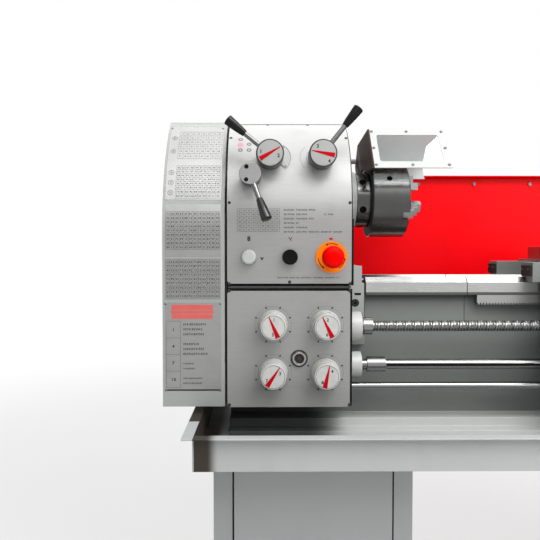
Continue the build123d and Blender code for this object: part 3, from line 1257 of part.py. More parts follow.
# Apron: a box hung under the front of the saddle, open at the back.
apron_floor = SPINDLE_HEIGHT - APRON_DROP
apron_x = (CARRIAGE_X - APRON_HALF, CARRIAGE_X + APRON_HALF)
wheel = (CARRIAGE_X - WHEEL_OFFSET, -APRON_FRONT, SPINDLE_HEIGHT - WHEEL_DROP)
nut_lever = (CARRIAGE_X + NUT_LEVER_OFFSET, -APRON_FRONT, SPINDLE_HEIGHT - NUT_LEVER_DROP)
with BuildPart() as apron:
    block(apron_x, (-APRON_FRONT, -APRON_BACK), (apron_floor, bridge_floor))
    inside_x = (apron_x[0] + APRON_WALL, apron_x[1] - APRON_WALL)
    inside_z = (apron_floor + APRON_WALL, bridge_floor - APRON_WALL)
    block(inside_x, (-APRON_FRONT + APRON_WALL, -APRON_BACK), inside_z, Mode.SUBTRACT)
    fillet(apron.edges().filter_by(Axis.Z).group_by(Axis.Y)[0], APRON_CORNER)
    for radius, height in rods:
        rod((apron_x[0], ROD_Y, height), (1, 0, 0), radius + ROD_HOLE, 2 * APRON_HALF, Mode.SUBTRACT)
    for place in (wheel, nut_lever):
        rod(place, (0, 1, 0), WHEEL_SHAFT + SHAFT_FIT, APRON_WALL, Mode.SUBTRACT)
finish(apron, "apron")


def handwheel(place, out, radius, standoff, shaft, depth):
    """A three-spoke handwheel with a turned handle, on a shaft that goes back into its casting."""
    axis = Vector(*out)
    centre = Vector(*place) + axis * standoff
    back = SLIDE_GAP - standoff
    turned([(-standoff - depth, 0), (-standoff - depth, shaft), (back, shaft), (back, 2 * shaft),
            (6, 1.8 * shaft), (14, 1.3 * shaft), (14, 0)], tuple(centre), out)
    wheel_plane = Plane(origin=tuple(centre), z_dir=out)
    with BuildSketch(wheel_plane.offset(-WHEEL_RIM)) as rim:
        Circle(radius)
        Circle(radius - 1.6 * WHEEL_RIM, mode=Mode.SUBTRACT)
        with PolarLocations(radius / 2, WHEEL_SPOKES):
            Rectangle(radius - WHEEL_RIM, 1.7 * WHEEL_RIM)
        Circle(1.5 * shaft)
    extrude(rim.sketch, amount=1.7 * WHEEL_RIM)
    knob_root = wheel_plane.from_local_coords(Vector(radius - 0.8 * WHEEL_RIM, 0, 0))
    turned([(0, 0), (0, 5), (14, 6), (HANDLE_LENGTH - 22, HANDLE_RADIUS),
            (HANDLE_LENGTH - 4, HANDLE_RADIUS - 1), (HANDLE_LENGTH, 5), (HANDLE_LENGTH, 0)],
           tuple(knob_root), out)


# Carriage handwheel.
with BuildPart() as carriage_handwheel:
    handwheel(wheel, (0, -1, 0), WHEEL_RADIUS, WHEEL_STANDOFF, WHEEL_SHAFT,
              APRON_WALL + WHEEL_SHAFT_END)
finish(carriage_handwheel, "carriage_handwheel")

# Half-nut lever on the apron.
with BuildPart() as half_nut_lever:
    shaft_end = -APRON_WALL - WHEEL_SHAFT_END
    turned([(shaft_end, 0), (shaft_end, WHEEL_SHAFT), (SLIDE_GAP, WHEEL_SHAFT), (SLIDE_GAP, NUT_LEVER_HUB),
            (NUT_LEVER_HUB_LENGTH, NUT_LEVER_HUB - 2), (NUT_LEVER_HUB_LENGTH, 0)], nut_lever, (0, -1, 0))
    lean = radians(NUT_LEVER_LEAN)
    nut_dir = Vector(sin(lean), -0.25, cos(lean)).normalized()
    nut_root = Vector(nut_lever[0], nut_lever[1] - NUT_LEVER_HUB_LENGTH * 0.6, nut_lever[2])
    rod(tuple(nut_root), tuple(nut_dir), LEVER_BAR, NUT_LEVER_REACH)
    nut_end = nut_root + nut_dir * (NUT_LEVER_REACH - 2)
    turned([(0, 0), (0, LEVER_BAR), (NUT_BALL_LENGTH / 7, NUT_BALL - 1), (NUT_BALL_LENGTH * 0.64, NUT_BALL),
            (NUT_BALL_LENGTH - 2, NUT_BALL - 5), (NUT_BALL_LENGTH, 0)], tuple(nut_end), tuple(nut_dir))
finish(half_nut_lever, "half_nut_lever")

# Start lever on the control rod beside the apron.
with BuildPart() as start_lever:
    start_left = apron_x[1] + SLIDE_GAP
    rod((start_left, ROD_Y, control_z), (1, 0, 0), START_COLLAR, START_LENGTH)
    start_dir = Vector(0, -0.94, 0.34)
    start_root = Vector(start_left + START_LENGTH / 2, ROD_Y, control_z)
    rod(tuple(start_root), tuple(start_dir), LEVER_BAR, START_REACH)
    with Locations(tuple(start_root + start_dir * START_REACH)):
        Sphere(START_BALL)
    rod((start_left, ROD_Y, control_z), (1, 0, 0), CONTROL_RADIUS + SLIDE_GAP, START_LENGTH, Mode.SUBTRACT)
finish(start_lever, "start_lever")

# Cross slide with its nut below.
with BuildPart() as cross_slide:
    cross_x = (CARRIAGE_X - CROSS_HALF, CARRIAGE_X + CROSS_HALF)
    cross_y = (-CROSS_FRONT, CROSS_REAR)
    block(cross_x, cross_y, (cross_floor, cross_top))
    clear_z = (saddle_top, saddle_top + DOVETAIL_RISE + SLIDE_GAP)
    dovetail_y(CARRIAGE_X, DOVETAIL_ROOT + 2 * SLIDE_GAP, DOVETAIL_TOP + 2.4 * SLIDE_GAP, clear_z, cross_y,
               Mode.SUBTRACT)
    half_nut = CROSS_NUT / 2
    nut_y = (-CROSS_NUT_LENGTH / 2, CROSS_NUT_LENGTH / 2)
    nut_z = (cross_screw_z - CROSS_SCREW - SLOT_FLOOR + 1, clear_z[1])
    block((CARRIAGE_X - half_nut, CARRIAGE_X + half_nut), nut_y, nut_z)
    nut_front = (CARRIAGE_X, nut_y[0], cross_screw_z)
    rod(nut_front, (0, 1, 0), CROSS_SCREW + SHAFT_FIT, CROSS_NUT_LENGTH, Mode.SUBTRACT)
finish(cross_slide, "cross_slide")


def crank(place, out, across, dial, screw, inward, gap):
    """A ball crank with a graduated dial, on a feed screw that goes inward."""
    hub_end = gap + CRANK_HUB_LENGTH
    neck = 0.45 * dial
    turned([(-inward, 0), (-inward, screw), (SLIDE_GAP, screw), (SLIDE_GAP, dial), (CRANK_DIAL_LENGTH, dial),
            (CRANK_DIAL_LENGTH, neck), (gap, neck), (gap, CRANK_HUB), (hub_end, CRANK_HUB), (hub_end, 0)],
           place, out)
    arm_dir = Vector(*across)
    arm_root = Vector(*place) + Vector(*out) * (gap + CRANK_HUB_LENGTH / 2)
    rod(tuple(arm_root), tuple(arm_dir), LEVER_BAR, CRANK_REACH)
    rod(tuple(arm_root), tuple(arm_dir * -1), LEVER_BAR, CRANK_REACH * 0.55)
    with Locations(tuple(arm_root - arm_dir * CRANK_REACH * 0.6)):
        Sphere(CRANK_BALL)
    handle = arm_root + arm_dir * CRANK_REACH
    half_hub = CRANK_HUB_LENGTH / 2
    turned([(-half_hub, 0), (-half_hub, CRANK_BALL), (half_hub, CRANK_BALL), (half_hub + 2, CRANK_BALL / 2),
            (CRANK_HANDLE_LENGTH - 10, CRANK_HANDLE), (CRANK_HANDLE_LENGTH, 5), (CRANK_HANDLE_LENGTH, 0)],
           tuple(handle), out)


# Cross-feed screw with its crank.
with BuildPart() as cross_screw:
    screw_run = BRIDGE_FRONT + BRIDGE_REAR - SLOT_END - SCREW_TAIL
    crank(screw_front, (0, -1, 0), (0.6, 0, -0.8), CRANK_DIAL, CROSS_SCREW, screw_run, CROSS_CRANK_OUT)
finish(cross_screw, "cross_screw")

# Compound base: a swivel disc with a dovetail along X and an end bracket.
with BuildPart() as compound_base:
    rod((CARRIAGE_X, COMPOUND_Y, swivel_floor), (0, 0, 1), SWIVEL_RADIUS, SWIVEL_HEIGHT)
    compound_x = (CARRIAGE_X - COMPOUND_REACH, CARRIAGE_X + COMPOUND_REACH)
    compound_y = (COMPOUND_Y - COMPOUND_HALF, COMPOUND_Y + COMPOUND_HALF)
    block(compound_x, compound_y, (compound_floor, compound_top))
    top_dovetail = (compound_top, compound_top + DOVETAIL_RISE)
    half_root = TOP_DOVETAIL_ROOT / 2
    half_top = TOP_DOVETAIL_TOP / 2
    section([(COMPOUND_Y - half_root, top_dovetail[0]), (COMPOUND_Y + half_root, top_dovetail[0]),
             (COMPOUND_Y + half_top, top_dovetail[1]), (COMPOUND_Y - half_top, top_dovetail[1])], compound_x)
    block((compound_x[1], compound_x[1] + TOP_BRACKET), compound_y, (compound_floor, top_slide_top))
    bracket_place = (compound_x[1] + TOP_BRACKET, COMPOUND_Y, top_screw_z)
    rod(bracket_place, (-1, 0, 0), TOP_SCREW + SHAFT_FIT, TOP_BRACKET, Mode.SUBTRACT)
finish(compound_base, "compound_base")

# Compound slide over the dovetail, bored for its screw.
with BuildPart() as compound_slide:
    slide_x = (CARRIAGE_X - TOP_SLIDE_LEFT, CARRIAGE_X + TOP_SLIDE_RIGHT)
    block(slide_x, (compound_y[0] - 2, compound_y[1] + 2), (top_slide_floor, top_slide_top))
    wide_root = half_root + 1.2 * SLIDE_GAP
    wide_top = half_top + 1.2 * SLIDE_GAP
    groove_top = top_dovetail[1] + SLIDE_GAP
    section([(COMPOUND_Y - wide_root, top_dovetail[0]), (COMPOUND_Y + wide_root, top_dovetail[0]),
             (COMPOUND_Y + wide_top, groove_top), (COMPOUND_Y - wide_top, groove_top)],
            slide_x, Mode.SUBTRACT)
    screw_start = (slide_x[0] + TOP_SLIDE_NOSE, COMPOUND_Y, top_screw_z)
    rod(screw_start, (1, 0, 0), TOP_SCREW + SLIDE_GAP, slide_x[1] - slide_x[0], Mode.SUBTRACT)
    stud_foot = (CARRIAGE_X + POST_OFFSET, COMPOUND_Y, top_slide_top)
    rod(stud_foot, (0, 0, 1), POST_STUD, post_top + POST_STUD_RISE - top_slide_top)
finish(compound_slide, "compound_slide")

# Compound screw with its crank.
with BuildPart() as compound_screw:
    crank(bracket_place, (1, 0, 0), (0, 0.6, 0.8), TOP_DIAL, TOP_SCREW, TOP_SCREW_LENGTH, TOP_CRANK_OUT)
finish(compound_screw, "compound_screw")

# Tool post: a square four-way block on the stud.
post_middle = (CARRIAGE_X + POST_OFFSET, COMPOUND_Y)
with BuildPart() as tool_post:
    with BuildSketch(Plane(origin=(*post_middle, post_floor))) as post_base:
        RectangleRounded(POST_SIZE, POST_SIZE, POST_CORNER)
    extrude(post_base.sketch, amount=post_top - post_floor)
    slot_z = (post_floor + POST_BASE, post_floor + POST_BASE + POST_SLOT)
    with BuildSketch(Plane(origin=(*post_middle, slot_z[0]))) as post_slot:
        Rectangle(POST_SIZE + 2, POST_SIZE + 2)
        RectangleRounded(POST_CORE, POST_CORE, POST_CORNER / 2, mode=Mode.SUBTRACT)
    extrude(post_slot.sketch, amount=POST_SLOT, mode=Mode.SUBTRACT)
    rod((*post_middle, post_floor), (0, 0, 1), POST_STUD + SHAFT_FIT, post_top - post_floor, Mode.SUBTRACT)
    with BuildSketch(Plane(origin=(*post_middle, post_top))) as bolts:
        for angle in range(0, 360, 90):
            with PolarLocations(POST_SIZE / 2 - POST_BOLT_INSET, 1, start_angle=angle):
                with Locations((0, -POST_BOLT_SPREAD), (0, POST_BOLT_SPREAD)):
                    Circle(POST_BOLT)
    extrude(bolts.sketch, amount=POST_BOLT_RISE)
finish(tool_post, "tool_post")

# Tool-post lever on the stud.
with BuildPart() as tool_post_lever:
    hub = (*post_middle, post_top + SLIDE_GAP)
    socket = POST_STUD + SHAFT_FIT
    turned([(0, socket), (0, POST_LEVER_HUB), (POST_LEVER_HEIGHT - 6, POST_LEVER_HUB - 3),
            (POST_LEVER_HEIGHT, 8), (POST_LEVER_HEIGHT, 0), (POST_LEVER_SOCKET, 0),
            (POST_LEVER_SOCKET, socket)], hub, (0, 0, 1))
    post_dir = Vector(0.75, -0.5, 0.43).normalized()
    post_root = Vector(hub[0], hub[1], hub[2] + POST_LEVER_HEIGHT - 8)
    rod(tuple(post_root), tuple(post_dir), LEVER_BAR, POST_LEVER_REACH)
    with Locations(tuple(post_root + post_dir * POST_LEVER_REACH)):
        Sphere(POST_LEVER_BALL)
finish(tool_post_lever, "tool_post_lever")

# Tailstock casting: a keel between the inner ways, a base, a waist and a barrel.
tail_middle = bed_right - TAIL_INSET
tail_x = (tail_middle - TAIL_LENGTH / 2, tail_middle + TAIL_LENGTH / 2)
keel_y = (front_vee + VEE_HALF + 4, rear_vee + VEE_HALF + 2)
keel_z = (way_flat + SLIDE_GAP, way_flat + SLIDE_GAP + TAIL_KEEL)
base_top = way_flat + TAIL_BASE_HEIGHT
barrel_left = tail_middle - TAIL_BARREL_LENGTH / 2
barrel_right = tail_middle + TAIL_BARREL_LENGTH / 2
with BuildPart() as tailstock_body:
    block(tail_x, keel_y, keel_z)
    block(tail_x, (-TAIL_BASE_HALF, TAIL_BASE_HALF), (keel_z[1], base_top))
    vee_groove(rear_vee, tail_x)
    waist_x = (tail_x[0] + TAIL_WAIST_INSET, tail_x[1] - TAIL_WAIST_INSET)
    shoulder = TAIL_BASE_HALF - TAIL_WAIST_SHOULDER
    neck_z = base_top + TAIL_WAIST_RISE
    section([(-shoulder, base_top), (shoulder, base_top), (TAIL_NECK, neck_z), (TAIL_NECK, SPINDLE_HEIGHT),
             (-TAIL_NECK, SPINDLE_HEIGHT), (-TAIL_NECK, neck_z)], waist_x)
    rod((barrel_left, 0, SPINDLE_HEIGHT), (1, 0, 0), TAIL_BARREL, TAIL_BARREL_LENGTH)
    quill_bore = TAIL_BARREL_LENGTH - TAIL_END_WALL
    rod((barrel_left, 0, SPINDLE_HEIGHT), (1, 0, 0), QUILL_RADIUS + SHAFT_FIT, quill_bore, Mode.SUBTRACT)
    rod((barrel_right, 0, SPINDLE_HEIGHT), (-1, 0, 0), TAIL_SCREW + SHAFT_FIT, TAIL_END_WALL, Mode.SUBTRACT)
    lock = (barrel_left + LOCK_OFFSET, 0, SPINDLE_HEIGHT + QUILL_RADIUS + 4)
    rod(lock, (0, 0, 1), LOCK_PIN + SHAFT_FIT, TAIL_BARREL, Mode.SUBTRACT)
finish(tailstock_body, "tailstock_body")

# Quill with its dead centre.
quill_left = barrel_left - QUILL_OUT
with BuildPart() as tailstock_quill:
    quill_right = quill_left + QUILL_LENGTH
    socket_end = quill_left + CENTRE_LENGTH
    nut_bore = TAIL_SCREW + 1
    turned([(quill_left, 0), (quill_left, QUILL_RADIUS - 2), (quill_left + 2, QUILL_RADIUS),
            (quill_right, QUILL_RADIUS), (quill_right, nut_bore), (socket_end, nut_bore), (socket_end, 0)],
           spindle_axis, (1, 0, 0))
    point = quill_left - CENTRE_LENGTH
    turned([(point, 0), (point + CENTRE_POINT, CENTRE_RADIUS), (quill_left, CENTRE_RADIUS),
            (quill_left, 0)], spindle_axis, (1, 0, 0))
finish(tailstock_quill, "tailstock_quill")

# Tailstock handwheel on the quill screw.
with BuildPart() as tailstock_handwheel:
    tail_end = (barrel_right, 0, SPINDLE_HEIGHT)
    handwheel(tail_end, (1, 0, 0), TAIL_WHEEL_RADIUS, TAIL_WHEEL_STANDOFF, TAIL_SCREW, TAIL_SCREW_LENGTH)
finish(tailstock_handwheel, "tailstock_handwheel")

# Quill lock: a pin with a ball lever above the barrel.
with BuildPart() as quill_lock:
    lock_root = (lock[0], 0, lock[2] + 1)
    seat = TAIL_BARREL - QUILL_RADIUS - 3.5
    turned([(0, 0), (0, LOCK_PIN), (seat, LOCK_PIN), (seat, LOCK_HUB), (seat + 18, LOCK_HUB - 1),
            (seat + 22, LOCK_PIN), (seat + 22, 0)], lock_root, (0, 0, 1))
    lock_dir = Vector(0.35, -0.85, 0.4).normalized()
    lock_lever = Vector(lock_root[0], 0, lock_root[2] + seat + 10)
    rod(tuple(lock_lever), tuple(lock_dir), LOCK_BAR, LOCK_REACH)
    with Locations(tuple(lock_lever + lock_dir * LOCK_REACH)):
        Sphere(LOCK_BALL)
finish(quill_lock, "quill_lock")
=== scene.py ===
"""Dresses a packed gap-bed lathe: finishes, prints, thread, fasteners and a plain studio."""

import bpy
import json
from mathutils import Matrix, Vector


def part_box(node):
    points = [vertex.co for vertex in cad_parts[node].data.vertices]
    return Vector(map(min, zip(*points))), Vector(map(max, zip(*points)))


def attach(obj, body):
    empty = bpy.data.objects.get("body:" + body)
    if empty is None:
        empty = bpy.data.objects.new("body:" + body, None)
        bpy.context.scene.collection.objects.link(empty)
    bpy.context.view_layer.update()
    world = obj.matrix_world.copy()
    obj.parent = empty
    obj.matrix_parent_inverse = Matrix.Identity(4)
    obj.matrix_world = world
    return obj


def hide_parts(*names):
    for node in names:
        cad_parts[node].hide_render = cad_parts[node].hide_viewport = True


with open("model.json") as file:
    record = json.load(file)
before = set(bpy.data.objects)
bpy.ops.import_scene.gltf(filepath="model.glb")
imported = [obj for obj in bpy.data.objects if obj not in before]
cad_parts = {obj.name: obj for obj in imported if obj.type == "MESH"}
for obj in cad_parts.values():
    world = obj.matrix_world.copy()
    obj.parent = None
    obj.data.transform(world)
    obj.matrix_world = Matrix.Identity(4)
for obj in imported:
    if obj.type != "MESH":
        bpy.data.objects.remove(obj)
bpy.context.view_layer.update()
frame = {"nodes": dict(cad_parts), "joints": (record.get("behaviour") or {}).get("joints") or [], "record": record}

import json
import math
from collections import namedtuple
from itertools import product

import bmesh
import bpy
from bpy.props import FloatProperty, FloatVectorProperty, PointerProperty
from mathutils import Matrix, Vector

bl_info = {
    "name": "Lathe looks",
    "version": (1, 0, 0),
    "blender": (4, 5, 0),
    "location": "View3D > Sidebar > Lathe",
    "description": "Finishes, prints, fasteners and studio of a gap-bed lathe",
    "category": "Object",
}

MM = 0.001
NODES = frame["nodes"]
SLOTS = {part["node"]: part["material_slot"] for part in frame["record"]["subparts"]}
NODES_OF = frame["record"]["behaviour"]["bodies"]
BODIES = {node: body for body, nodes in NODES_OF.items() for node in nodes}
JOINTS = {joint["name"]: joint for joint in frame["joints"]}
ORIGIN = Vector((0.0, 0.0, 0.0))
X, Y, Z = (Vector(axis) for axis in ((1, 0, 0), (0, 1, 0), (0, 0, 1)))

SHINE = "Specular IOR Level"
WHITE = (1.0, 1.0, 1.0, 1.0)
EVEN = (1.0, 1.0, 1.0)
SMOOTH_ANGLE = math.radians(32.0)
SHARP_ANGLE = math.radians(42.0)
FLAT_ANGLE = math.radians(0.4)
MERGE, MERGE_CAD = 1e-7, 1e-6
PULL_REACH = 0.014

# Places in the frame, in metres.
GUARD_LEFT = -0.487
NOSE_SOCKETS = -0.4944
BEARING_FACE, FLANGE_FACE = -0.508, -0.512
DIAL_FRONT, DIAL_LEVER = -0.207, -0.192
FEED_FRONT, FEED_LEVER = -0.230, -0.219
KNOB_FRONT = -0.220
LOUVRE_PITCH = 0.018

# Prints: millimetres above their sheet, and shares of a character's size.
INK = (0.04, 0.14)
FULL_TURN = (0, 360)
RULE = 0.4
LETTER_STEP = 0.62
LETTER_BOLD = 0.03
LETTER_MIDDLE = 0.35


def moved(point, **known):
    """A copy of a point with some coordinates given."""
    return Vector([known.get(axis, value) for axis, value in zip("xyz", point)])


def pivot(joint, **known):
    """A point on the axis of a joint."""
    return moved(JOINTS[joint]["pos_m"], **known)


def middle(node, **known):
    """The middle of a CAD node's box."""
    low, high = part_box(node)
    return moved((low + high) / 2.0, **known)


def polar(radius, degrees):
    return radius * math.cos(math.radians(degrees)), radius * math.sin(math.radians(degrees))


# Node trees.


class Value:
    """A number socket that takes part in Python sums."""

    def __init__(self, nodes, socket):
        self.nodes = nodes
        self.socket = socket

    def sum(self, operation, *terms):
        made = self.nodes.add("ShaderNodeMath", dict(enumerate(terms)), operation=operation)
        return Value(self.nodes, made.outputs[0])

    def __add__(self, other):
        return self.sum("ADD", self, other)

    def __sub__(self, other):
        return self.sum("SUBTRACT", self, other)

    def __rsub__(self, other):
        return self.sum("SUBTRACT", other, self)

    def __mul__(self, other):
        return self.sum("MULTIPLY", self, other)

    def __abs__(self):
        return self.sum("ABSOLUTE", self)

    __radd__ = __add__
    __rmul__ = __mul__

    def root(self):
        return self.sum("SQRT", self)

    def over(self, low, high):
        """0 up to low, 1 from high on and a smooth rise between them."""
        sockets = {"Value": self, "From Min": low, "From Max": high}
        made = self.nodes.add("ShaderNodeMapRange", sockets, interpolation_type="SMOOTHSTEP")
        return Value(self.nodes, made.outputs[0])


class Nodes:
    """Adds nodes to one tree, with the values or links of their sockets and their settings."""

    def __init__(self, tree):
        self.tree = tree

    def add(self, kind, sockets=None, **settings):
        made = self.tree.nodes.new(kind)
        for name, value in settings.items():
            setattr(made, name, value)
        for name, value in (sockets or {}).items():
            if isinstance(value, Value):
                value = value.socket
            if isinstance(value, bpy.types.NodeSocket):
                self.tree.links.new(value, made.inputs[name])
            else:
                made.inputs[name].default_value = value
        return made


Coat = namedtuple("Coat", "colour rough metal relief")


def rgba(colour):
    return colour if isinstance(colour, bpy.types.NodeSocket) else (*colour, 1.0)


def tint(colour, factor):
    return tuple(min(1.0, part * factor) for part in colour)


def stretched(axis, length=60.0):
    """Stretch of lines along one axis."""
    return [length if name == axis else 1.0 for name in "xyz"]


class Finish(Nodes):
    """A material whose coats are mixed by place before its shader is made."""

    def __init__(self, name):
        self.material = bpy.data.materials.new(name)
        self.material.use_nodes = True
        super().__init__(self.material.node_tree)
        self.tree.nodes.clear()
        self.place = self.add("ShaderNodeTexCoord").outputs["Object"]
        axes = self.add("ShaderNodeSeparateXYZ", {0: self.place}).outputs
        self.x, self.y, self.z = (Value(self, axis) for axis in axes)

    def noise(self, size, detail=2.0, stretch=EVEN, place=None):
        scale = [1.0 / (size * part) for part in stretch]
        mapped = self.add("ShaderNodeMapping", {"Vector": place or self.place, "Scale": scale})
        sockets = {"Vector": mapped.outputs[0], "Scale": 1.0, "Detail": detail}
        return Value(self, self.add("ShaderNodeTexNoise", sockets).outputs[0])

    def mix(self, factor, first, second):
        sockets = {0: factor, 6: rgba(first), 7: rgba(second)}
        return self.add("ShaderNodeMix", sockets, data_type="RGBA").outputs[2]

    def cover(self, mask, under, top):
        """One coat with another over it where the mask is 1."""
        numbers = [a + mask * (b - a) for a, b in zip(under[1:], top[1:])]
        return Coat(self.mix(mask, under.colour, top.colour), *numbers)

    def make(self, coat, constants=None):
        bump = self.add("ShaderNodeBump", {"Distance": 1.0, "Height": coat.relief})
        sockets = {
            "Base Color": rgba(coat.colour),
            "Roughness": coat.rough,
            "Metallic": coat.metal,
            "Normal": bump.outputs[0],
            **(constants or {}),
        }
        self.show(self.add("ShaderNodeBsdfPrincipled", sockets))
        return self.material

    def show(self, shader):
        self.add("ShaderNodeOutputMaterial", {"Surface": shader.outputs[0]})

    # Coats.

    def painted(self, colour, rough=0.36, peel=0.00003):
        """Sprayed paint with orange peel, faint blotches and smears."""
        blotch = self.noise(0.16, 3.0)
        smear = self.noise(0.05, 5.0, (1.0, 1.0, 2.5)).over(0.55, 0.8)
        shade = self.mix(blotch, tint(colour, 0.93), tint(colour, 1.06))
        shade = self.mix(smear * 0.15, shade, tint(colour, 0.7))
        rough = rough + (blotch - 0.5) * 0.16 + smear * 0.14
        return Coat(shade, rough, 0.0, self.noise(0.0018) * peel)

    def brushed(self, colour, rough, stretch=EVEN, place=None):
        """Bare metal with the lines of its last cut and faint stains."""
        lines = self.noise(0.0008, 3.0, stretch, place)
        stain = self.noise(0.06, 4.0)
        shade = self.mix(lines, tint(colour, 0.84), tint(colour, 1.14))
        shade = self.mix(stain.over(0.5, 0.8) * 0.3, shade, tint(colour, 0.7))
        rough = rough + (lines - 0.5) * 0.16 + (stain - 0.5) * 0.18
        return Coat(shade, rough, 1.0, lines * 0.000005)

    def moulded(self, colour, rough=0.32):
        """Plastic with fine grain and handling marks."""
        marks = self.noise(0.018, 4.0)
        shade = self.mix(marks, tint(colour, 0.92), tint(colour, 1.06))
        return Coat(shade, rough + (marks - 0.5) * 0.22, 0.0, self.noise(0.0006) * 0.00001)

    def cast(self, colour, rough=0.58):
        """Rough cast iron under thin paint."""
        grain = self.noise(0.004, 5.0)
        blotch = self.noise(0.1, 3.0)
        shade = self.mix(blotch, tint(colour, 0.85), tint(colour, 1.12))
        shade = self.mix(grain.over(0.6, 0.72) * 0.35, shade, tint(colour, 0.6))
        return Coat(shade, rough + (blotch - 0.5) * 0.2, 0.1, grain * 0.00025)


def paint_of(colour, rough=0.36, shine=0.5):
    return lambda f, c: f.make(f.painted(getattr(c, colour), rough), {SHINE: shine})


def plastic_of(colour, rough=0.32, shine=0.5):
    return lambda f, c: f.make(f.moulded(getattr(c, colour), rough), {SHINE: shine})


def metal_of(colour, rough, axis, length):
    return lambda f, c: f.make(f.brushed(getattr(c, colour), rough, stretched(axis, length)))


def ways_recipe(f, c):
    """Ground ways above painted iron."""
    low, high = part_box("gap_bridge")
    under = high.z - 31.0 * MM
    foot_top, shade_top, block_floor, seam_floor = 0.632, 0.640, 0.775, 0.79
    end = 1.0 - f.x.over(low.x - 0.3 * MM, low.x)
    # Painted light: below the foot's top and right of x -0.61 to -0.53 the bed takes the casting paint 1.5 times
    # paler, a painted highlight where light falls on the foot; the pale end block is two-tone paint.
    foot = (1.0 - f.z.over(foot_top, foot_top + 1.0 * MM)) * f.x.over(-0.61, -0.53)
    pale = end * f.z.over(block_floor, block_floor + 1.0 * MM) + foot
    iron = f.cover(pale, f.cast(c.bed), f.painted(c.paint))
    iron = f.cover(foot, iron, f.painted(tint(c.paint, 1.5)))
    # Painted shade: near-black bed paint low down on the bed under the gearbox, left of x -0.62 to -0.53, and in a
    # band under the overhang of the ways.
    painted_shade = (1.0 - f.z.over(shade_top, shade_top + 2.0 * MM)) * (1.0 - f.x.over(-0.62, -0.53))
    painted_shade = painted_shade + f.z.over(under - 26.0 * MM, under - 4.0 * MM) * (1.0 - end) * 0.8
    iron = f.cover(painted_shade, iron, f.painted(tint(c.bed, 0.22), 0.6))
    ways = f.z.over(under - 0.2 * MM, under + 0.2 * MM) * (1.0 - end)
    coat = f.cover(ways, iron, f.brushed(c.way, 0.26, stretched("x")))
    seam = 1.0 - abs(f.x - low.x).over(1.6 * MM, 2.4 * MM)
    seam = seam * f.z.over(seam_floor, seam_floor + 10.0 * MM)
    coat = f.cover(seam, coat, f.moulded(c.gasket, 0.8))
    return f.make(coat, {SHINE: 0.25})


def plate_recipe(f, c):
    """Satin plate with painted light: a paler colour above its bend stands in for the light that falls there; its
    metal rises with height and drops above the bend.
    """
    gearbox, headstock, bend = (f.z.over(*z) for z in ((0.69, 0.78), (0.78, 0.93), (1.02, 1.085)))
    grain = stretched("x")
    coat = f.cover(bend, f.brushed(c.plate, 0.4, grain), f.brushed(c.plate_top, 0.4, grain))
    return f.make(coat._replace(metal=0.08 + gearbox * 0.12 + headstock * 0.3 - bend * 0.4))


def tray_recipe(f, c):
    """Painted sheet with painted shade: a dark oily colour near its left end under the gear cover and on the back
    of the rim there, where the cover's shadow falls.
    """
    wall = f.x.over(-0.8226, -0.8223)
    inside = wall * (1.0 - f.x.over(-0.80, -0.78))
    rim = f.z.over(0.655, 0.656) * f.y.over(-0.231, -0.226) * (1.0 - f.y.over(-0.12, -0.08))
    cover_shade = inside + (1.0 - wall) * rim
    coat = f.cover(cover_shade, f.painted(c.tray, 0.44), f.painted(c.oil, 0.5))
    return f.make(coat, {SHINE: 0.3})


def saddle_recipe(f, c):
    """Painted iron with ground faces on top."""
    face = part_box("saddle")[1].z - 11.0 * MM
    mask = f.z.over(face - 0.2 * MM, face + 0.2 * MM)
    return f.make(f.cover(mask, f.cast(c.bed), f.brushed(c.way, 0.3, stretched("y", 30.0))))


def spindle_recipe(f, c):
    """Steel turned about the spindle's axis."""
    axis = pivot("spindle_spin")
    across, up = f.y - axis.y, f.z - axis.z
    sockets = {0: f.x, 1: (across * across + up * up).root()}
    place = f.add("ShaderNodeCombineXYZ", sockets).outputs[0]
    return f.make(f.brushed(c.nose, 0.2, place=place))


def chuck_recipe(f, c):
    """Turned steel whose back is painted near black as painted shade."""
    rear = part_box("chuck_body")[0].x
    steel = f.brushed(c.nose, 0.3, stretched("x", 20.0))
    back = 1.0 - f.x.over(rear + 0.4 * MM, rear + 0.7 * MM)
    return f.make(f.cover(back, steel, f.moulded(c.gasket, 0.7)))


def guard_recipe(f, c):
    """Painted sheet with painted light and shade: outside, the casting paint 1.6 times paler, painted light for
    its lit front; its side plate, in shade, painted dark as painted shade.
    """
    plate = f.x.over(GUARD_LEFT - 0.4 * MM, GUARD_LEFT - 0.1 * MM)
    mask = plate * (1.0 - f.x.over(GUARD_LEFT + 3.0 * MM, GUARD_LEFT + 3.4 * MM))
    coat = f.cover(mask, f.painted(tint(c.paint, 1.6), 0.4), f.painted(c.guard, 0.6))
    return f.make(coat, {SHINE: 0.08})


def clear_recipe(f, c):
    coat = f.moulded((0.86, 0.9, 0.9), 0.08)
    return f.make(coat, {"Transmission Weight": 0.92, "IOR": 1.2})
